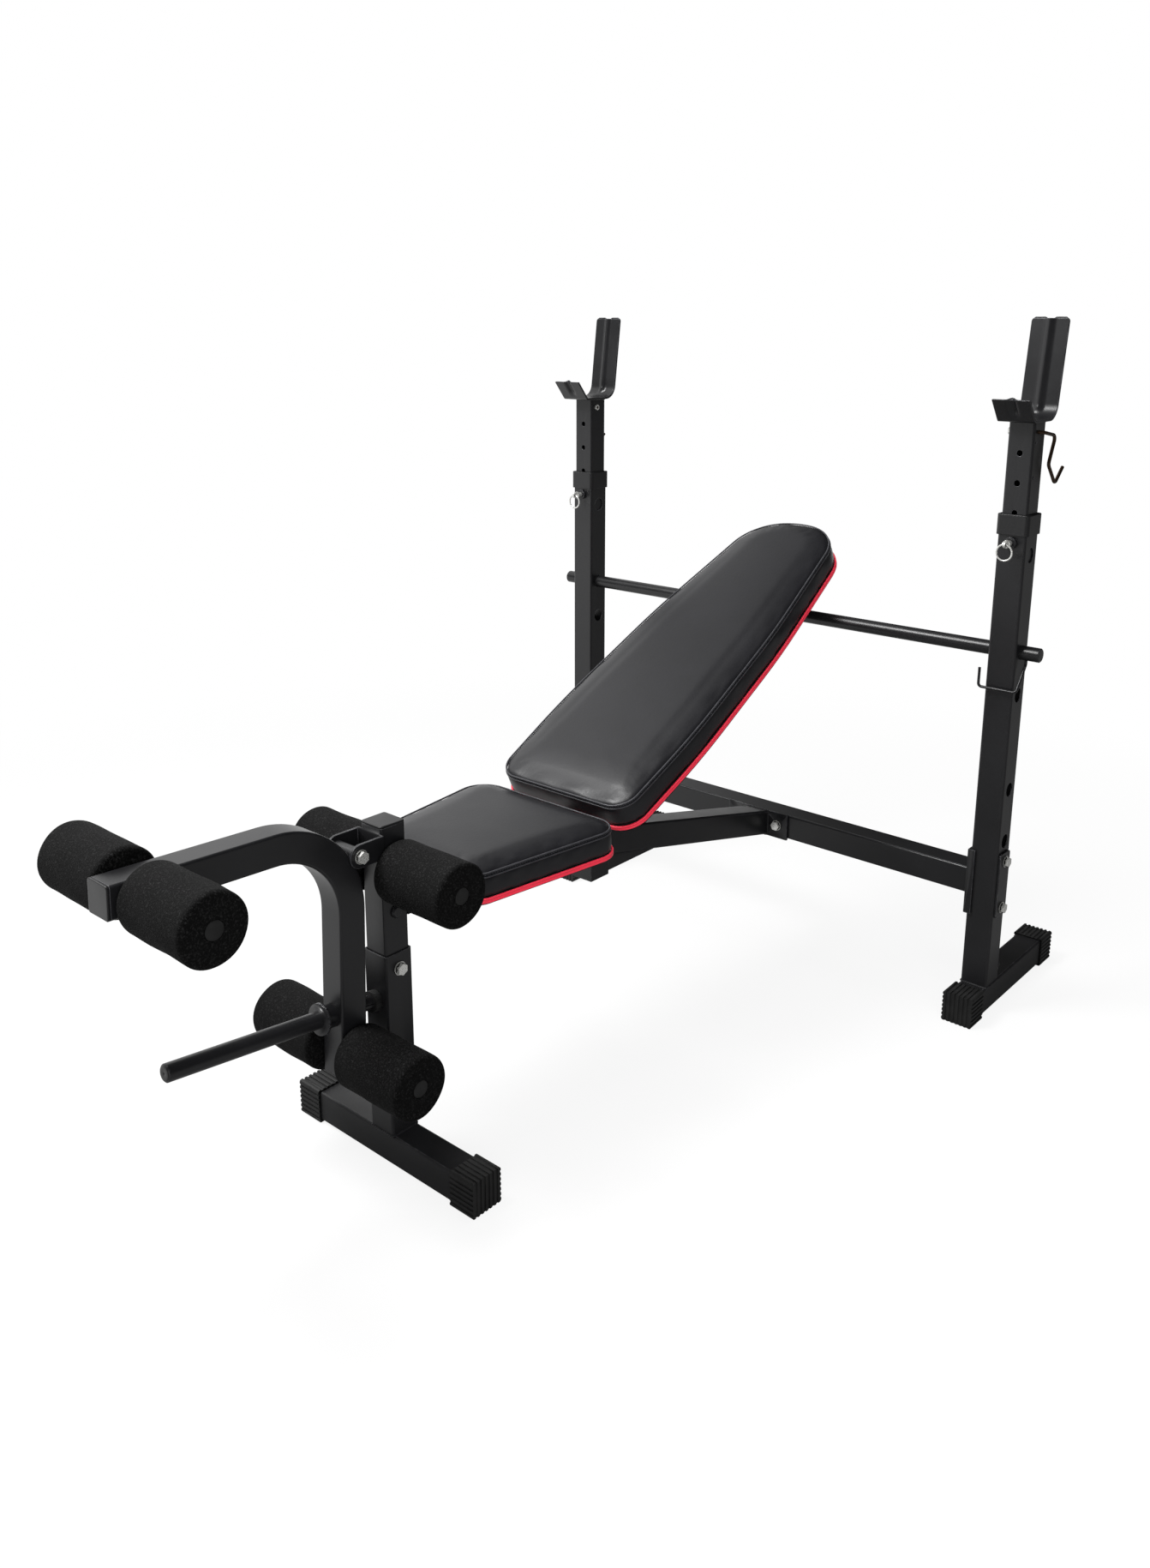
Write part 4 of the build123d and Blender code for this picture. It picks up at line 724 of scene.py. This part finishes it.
def draw_in(mesh, seam):
    """Pulls the skin into the seam by a Gaussian of its distance, and a little way off by a second one, whose
    puckers come and go as two sines of the seam's points, 17 and 27 points long."""
    points = mesh_rows(mesh)
    square = (points ** 2).sum(axis=1)[:, None] + (seam ** 2).sum(axis=1)[None] - 2 * points @ seam.T
    step = square.argmin(axis=1)
    away = np.sqrt(np.maximum(np.take_along_axis(square, step[:, None], axis=1)[:, 0], 0))
    pucker = 0.5 * np.sin(step * 0.37) + 0.4 * np.sin(step * 0.23 + 1.3)
    pull = (SEAM_PULL * np.exp(-(away / SEAM_REACH) ** 2)
            + SEAM_PULL * pucker * np.exp(-((away - PUCKER_AWAY) / PUCKER_REACH) ** 2))
    mesh.vertices.foreach_set("co", (points - mesh_rows(mesh, "normal") * pull[:, None]).ravel())


vinyl = soft_vinyl()
pads = []
for name, body, corners, radii, place, depth, middle_run in (
        ("seat_cushion", "frame", SEAT_CORNERS, SEAT_RADII, seat_place, SEAT_DEPTH, SEAT_MIDDLE),
        ("back_cushion", "backrest", BACK_CORNERS, BACK_RADII, back_place, BACK_DEPTH, BACK_MIDDLE)):
    edge, normal, girth = rounded(corners, radii, EDGE_STEPS)
    middle = np.stack([np.zeros(len(edge)), np.clip(edge[:, 1], *middle_run)], axis=-1)
    form = pad_form(edge, normal, middle, place, depth)
    piece = put_mesh(name + "_vinyl", form, grid_faces(len(form), len(edge)), vinyl, body)
    origin = place(*np.zeros(3))
    up = place(*np.array([0.0, 0.0, 1.0])) - origin
    swell(piece, lambda p: (p - origin) @ up, depth)
    if name == "back_cushion":
        ease_foot(piece.data, origin, place(*np.array([0.0, 1.0, 0.0])) - origin, up)
    seam_plan = edge - normal * SEAM_INSET
    draw_in(piece.data, place(seam_plan[:, 0], seam_plan[:, 1], np.full(len(edge), SEAM_V)))
    piece.data.materials.clear()
    piece.data.materials.append(vinyl)
    piece.data.polygons.foreach_set("use_smooth", np.ones(len(piece.data.polygons), dtype=bool))
    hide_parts(name)
    pads.append((name, body, edge, normal, place, depth, girth, up))

# Sewn edge of the top panels: a welt of folded vinyl, a row of thread below it and the fold of the boxing.
# The welt, fold and thread share a paler vinyl colour, a painted highlight on the seam's ridges;
# the thread is bonded nylon, 1.1 mm thick.
# Zinc-plated staples under the boards hold the vinyl's turned edge, one every 28 mm.
FOLD_SIDES = 10
ROD_SIDES = 5


def fold_vinyl_painted_highlight():
    """The same vinyl on a tight fold, a little glossier, its colour paler as a painted highlight, blotched
    every 11 mm.
    """
    fold, place = blank("vinyl_fold_painted_highlight")
    blotch = add(fold, "TexNoise", {"Vector": place, "Scale": 1000 / 11, "Detail": 4.0}).outputs["Fac"]
    # Painted highlight: these colours are two to three times as pale as the panel vinyl's, standing for light
    # along the welt, the fold and the thread.
    colour = add(fold, "Mix", {SHARE: blotch, FROM: linear("#232326"), TO: linear("#434347")},
                 data_type="RGBA").outputs[MIXED]
    gloss = add(fold, "MapRange", {"Value": blotch, "To Min": 0.30, "To Max": 0.44}).outputs["Result"]
    grain = add(fold, "TexVoronoi", {"Vector": place, "Scale": 1000 / 1.6}).outputs["Distance"]
    pebbled = add(fold, "Bump", {"Height": grain, "Distance": 0.00005}).outputs["Normal"]
    shader = add(fold, "BsdfPrincipled", {"Base Color": colour, "Roughness": gloss, "IOR": 1.5,
                                          "Normal": pebbled})
    add(fold, "OutputMaterial", {"Surface": shader.outputs[0]})
    return fold


def rods_along(name, centre, along, out, up, half, radius, finish, body):
    """Short rods, one at each centre: rings at -1, -0.6, 0.6 and 1 of the half length, of which the two outer
    ones are points."""
    reach = np.array([-1, -0.6, 0.6, 1]) * half
    thick = np.array([0, 1, 1, 0]) * radius
    turn = np.linspace(0, 2 * np.pi, ROD_SIDES, endpoint=False)
    ring = np.cos(turn)[:, None] * out[:, None, None, :] + np.sin(turn)[:, None] * up
    points = (centre[:, None, None, :] + along[:, None, None, :] * reach[:, None, None]
              + ring * thick[:, None, None])
    first = len(reach) * ROD_SIDES * np.arange(len(centre))
    faces = grid_faces(len(reach), ROD_SIDES)[None] + first[:, None, None]
    put_mesh(name, points, faces.reshape(-1, 4), finish, body)


fold = fold_vinyl_painted_highlight()
for name, body, edge, normal, place, depth, girth, up in pads:
    turn = np.linspace(0, 2 * np.pi, FOLD_SIDES, endpoint=False)
    for label, inset, v, radius in (("welt", 0.0036, -0.0010, 0.0015), ("fold", 0.0018, -0.0066, 0.0012)):
        path = edge[:, None, :] - normal[:, None, :] * (inset - radius * np.cos(turn))[None, :, None]
        rise = np.repeat((v + radius * np.sin(turn))[None, :], len(edge), axis=0)
        put_mesh(name + "_" + label, place(path[..., 0], path[..., 1], rise),
                 grid_faces(len(edge), FOLD_SIDES, close_rows=True), fold, body)
    base = place(*np.zeros(3))
    ring = np.arange(len(edge) + 1)
    for label, pitch, inset, v, half, radius, finish, slot in (
            ("thread", 0.0046, 0.0034, -0.0040, 0.0017, 0.00055, fold, "pad_vinyl"),
            ("staples", 0.028, 0.0150, -depth - 0.0122, 0.0050, 0.0006, zinc, "zinc_plate")):
        spot = np.linspace(0, len(edge), round(girth / pitch), endpoint=False)
        out = np.vstack([normal, normal[:1]])
        line = np.vstack([edge, edge[:1]]) - out * inset
        line = np.stack([np.interp(spot, ring, line[:, 0]), np.interp(spot, ring, line[:, 1])], axis=-1)
        out = np.stack([np.interp(spot, ring, out[:, 0]), np.interp(spot, ring, out[:, 1])], axis=-1)
        centre = place(line[:, 0], line[:, 1], np.full(len(line), v))
        outward = place(out[:, 0], out[:, 1], np.zeros(len(out))) - base
        along = place(-out[:, 1], out[:, 0], np.zeros(len(out))) - base
        rods_along(name + "_" + label, centre, along, outward, up, half, radius, finish, body)

# Red edging: an extruded strip stapled round each board's edge under the boxing.
# Plasticised PVC with a rounded lip at each edge and a hollow between, slightly glossy from the die.
EDGING = np.array([(-0.0006, 0.0006), (0.0012, 0.0008), (0.0023, 0.0003), (0.0028, -0.0007),
                   (0.0025, -0.0017), (0.0018, -0.0026), (0.0016, -0.0034), (0.0018, -0.0042),
                   (0.0025, -0.0051), (0.0028, -0.0061), (0.0023, -0.0071), (0.0012, -0.0076),
                   (-0.0006, -0.0074)])


def red_pvc():
    """Red plasticised PVC: clouds of 40 mm, a grain of 3 mm from the die and a soft gloss."""
    red, place = blank("red_pvc_edging")
    cloud = add(red, "TexNoise", {"Vector": place, "Scale": 1000 / 40, "Detail": 4.0}).outputs["Fac"]
    colour = add(red, "Mix", {SHARE: cloud, FROM: linear("#f22f47"), TO: linear("#ff3f57")},
                 data_type="RGBA").outputs[MIXED]
    drawn = add(red, "TexNoise", {"Vector": place, "Scale": 1000 / 3, "Detail": 2.0}).outputs["Fac"]
    uneven = add(red, "Bump", {"Height": drawn, "Distance": 0.00006}).outputs["Normal"]
    gloss = add(red, "MapRange", {"Value": cloud, "To Min": 0.34, "To Max": 0.46}).outputs["Result"]
    shader = add(red, "BsdfPrincipled", {"Base Color": colour, "Roughness": gloss, "IOR": 1.53,
                                         "Normal": uneven})
    add(red, "OutputMaterial", {"Surface": shader.outputs[0]})
    return red


red = red_pvc()
for name, body, edge, normal, place, depth, *_ in pads:
    path = edge[:, None, :] + normal[:, None, :] * EDGING[None, :, :1]
    rise = np.repeat(EDGING[None, :, 1] - depth, len(edge), axis=0)
    put_mesh(name + "_edging", place(path[..., 0], path[..., 1], rise),
             grid_faces(len(edge), len(EDGING), close_rows=True), red, body)

# Studio: a pale floor that runs into a white surround; in reflections both are bright on the left and
# flagged dark on the right. A soft box stands in front on the left, a wide one hangs overhead and a fill
# stands on the right; only the first shows as glare.
FLOOR_HALF = 40
FLOOR_GAP = 0.0005
LIT_SIDE = (-0.85, 0.2, 0.49)
LIGHTS_AIM = (0.0, 0.0, 0.45)


def floor_finish():
    """Matte white floor: near the bench it takes a soft shadow, and from 1.1 to 2.6 m out it turns to plain
    white. In gloss it is bright on the left, dark on the right and brighter further out."""
    paper, place = blank("pale_studio_floor")
    sight = add(paper, "LightPath")
    seen = add(paper, "Math", {0: sight.outputs["Is Camera Ray"], 1: sight.outputs["Is Transmission Ray"]},
               operation="MAXIMUM").outputs[0]
    reach = add(paper, "VectorMath", {0: place}, operation="LENGTH").outputs["Value"]
    white = add(paper, "MapRange", {"Value": reach, "From Min": 1.1, "From Max": 2.6, "To Min": 0.86},
                interpolation_type="SMOOTHSTEP").outputs["Result"]
    white = add(paper, "Math", {0: white, 1: seen}, operation="MULTIPLY").outputs[0]
    across = add(paper, "SeparateXYZ", {0: place}).outputs["X"]
    flag = add(paper, "MapRange", {"Value": across, "From Min": 0.1, "From Max": -0.7, "To Min": 0.12,
                                   "To Max": 0.85}, interpolation_type="SMOOTHSTEP").outputs["Result"]
    flag = add(paper, "Math", {0: flag, 1: sight.outputs["Is Glossy Ray"]}, operation="MULTIPLY").outputs[0]
    share = add(paper, "Math", {0: white, 1: flag}, operation="MAXIMUM").outputs[0]
    tone = add(paper, "MapRange", {"Value": seen, "To Min": 0.15, "To Max": 0.88}).outputs["Result"]
    matte = add(paper, "BsdfDiffuse", {"Color": tone}).outputs[0]
    far = add(paper, "MapRange", {"Value": reach, "From Min": 1.5, "From Max": 4.0, "To Min": 1.0,
                                  "To Max": 1.6}).outputs["Result"]
    strength = add(paper, "MapRange", {"Value": sight.outputs["Is Glossy Ray"], "To Min": 1.0,
                                       "To Max": far}).outputs["Result"]
    glow = add(paper, "Emission", {"Color": linear("#ffffff"), "Strength": strength}).outputs[0]
    both = add(paper, "MixShader", {0: share, 1: matte, 2: glow}).outputs[0]
    add(paper, "OutputMaterial", {"Surface": both})
    return paper


floor_mesh = bpy.data.meshes.new("floor")
floor_mesh.from_pydata([(-FLOOR_HALF, -FLOOR_HALF, 0), (FLOOR_HALF, -FLOOR_HALF, 0),
                        (FLOOR_HALF, FLOOR_HALF, 0), (-FLOOR_HALF, FLOOR_HALF, 0)], [], [(0, 1, 2, 3)])
floor_mesh.materials.append(floor_finish())
floor = bpy.data.objects.new("floor", floor_mesh)
floor.location.z = cad_box[0][2] - FLOOR_GAP
bpy.context.scene.collection.objects.link(floor)

world = bpy.data.worlds.new("white_surround")
world.use_nodes = True
world.node_tree.nodes.clear()
sight = add(world, "LightPath")
seen = add(world, "Math", {0: sight.outputs["Is Camera Ray"], 1: sight.outputs["Is Transmission Ray"]},
           operation="MAXIMUM").outputs[0]
heading = add(world, "TexCoord").outputs["Generated"]
toward = add(world, "VectorMath", {0: heading, 1: LIT_SIDE}, operation="DOT_PRODUCT").outputs["Value"]
flag = add(world, "MapRange", {"Value": toward, "From Min": 0.55, "From Max": 1.0, "To Min": 0.16,
                               "To Max": 1.33}).outputs["Result"]
across = add(world, "SeparateXYZ", {0: heading}).outputs["X"]
fade = add(world, "MapRange", {"Value": across, "From Min": -0.64, "From Max": -0.47, "To Min": 1.0,
                               "To Max": 0.1}).outputs["Result"]
flag = add(world, "Math", {0: flag, 1: fade}, operation="MULTIPLY").outputs[0]
level = add(world, "MapRange", {"Value": sight.outputs["Is Glossy Ray"], "To Min": 0.25,
                                "To Max": flag}).outputs["Result"]
level = add(world, "Math", {0: level, 1: seen}, operation="MAXIMUM").outputs[0]
sky = add(world, "Background", {"Color": linear("#ffffff"), "Strength": level})
add(world, "OutputWorld", {"Surface": sky.outputs[0]})
bpy.context.scene.world = world

for name, spot, size, power, glare in (("key_box", (-0.95, -1.20, 2.95), 1.0, 90, True),
                                       ("top_box", (-0.3, 0.1, 3.0), 2.4, 45, False),
                                       ("fill_box", (2.4, -2.2, 1.6), 2.4, 78, False)):
    lamp = bpy.data.lights.new(name, "AREA")
    lamp.shape = "SQUARE"
    lamp.size = size
    lamp.energy = power
    box = bpy.data.objects.new(name, lamp)
    box.location = spot
    box.rotation_euler = (Vector(LIGHTS_AIM) - Vector(spot)).to_track_quat("-Z", "Y").to_euler()
    box.visible_glossy = glare
    bpy.context.scene.collection.objects.link(box)

# Camera where the photograph was taken from, in front on the right and as high as the cradles, for an image
# of 1342 by 1829. Its place, turn and focal length were worked out from points on the frame.
SENSOR = 36.0
IMAGE_HIGH = 1829
FOCAL_PIXELS = 1500.9
LOOKS_DOWN = 14.63
LOOKS_LEFT = 41.32
lens = bpy.data.cameras.new("camera")
lens.sensor_width = SENSOR
lens.lens = SENSOR * FOCAL_PIXELS / IMAGE_HIGH
lens.shift_y = -0.0808
camera = bpy.data.objects.new("camera", lens)
camera.location = (1.3473, -1.5399, 1.2420)
camera.rotation_euler = (math.radians(90 - LOOKS_DOWN), 0.0, math.radians(LOOKS_LEFT))
bpy.context.scene.collection.objects.link(camera)
bpy.context.scene.camera = camera
bpy.context.scene.view_settings.view_transform = "Standard"
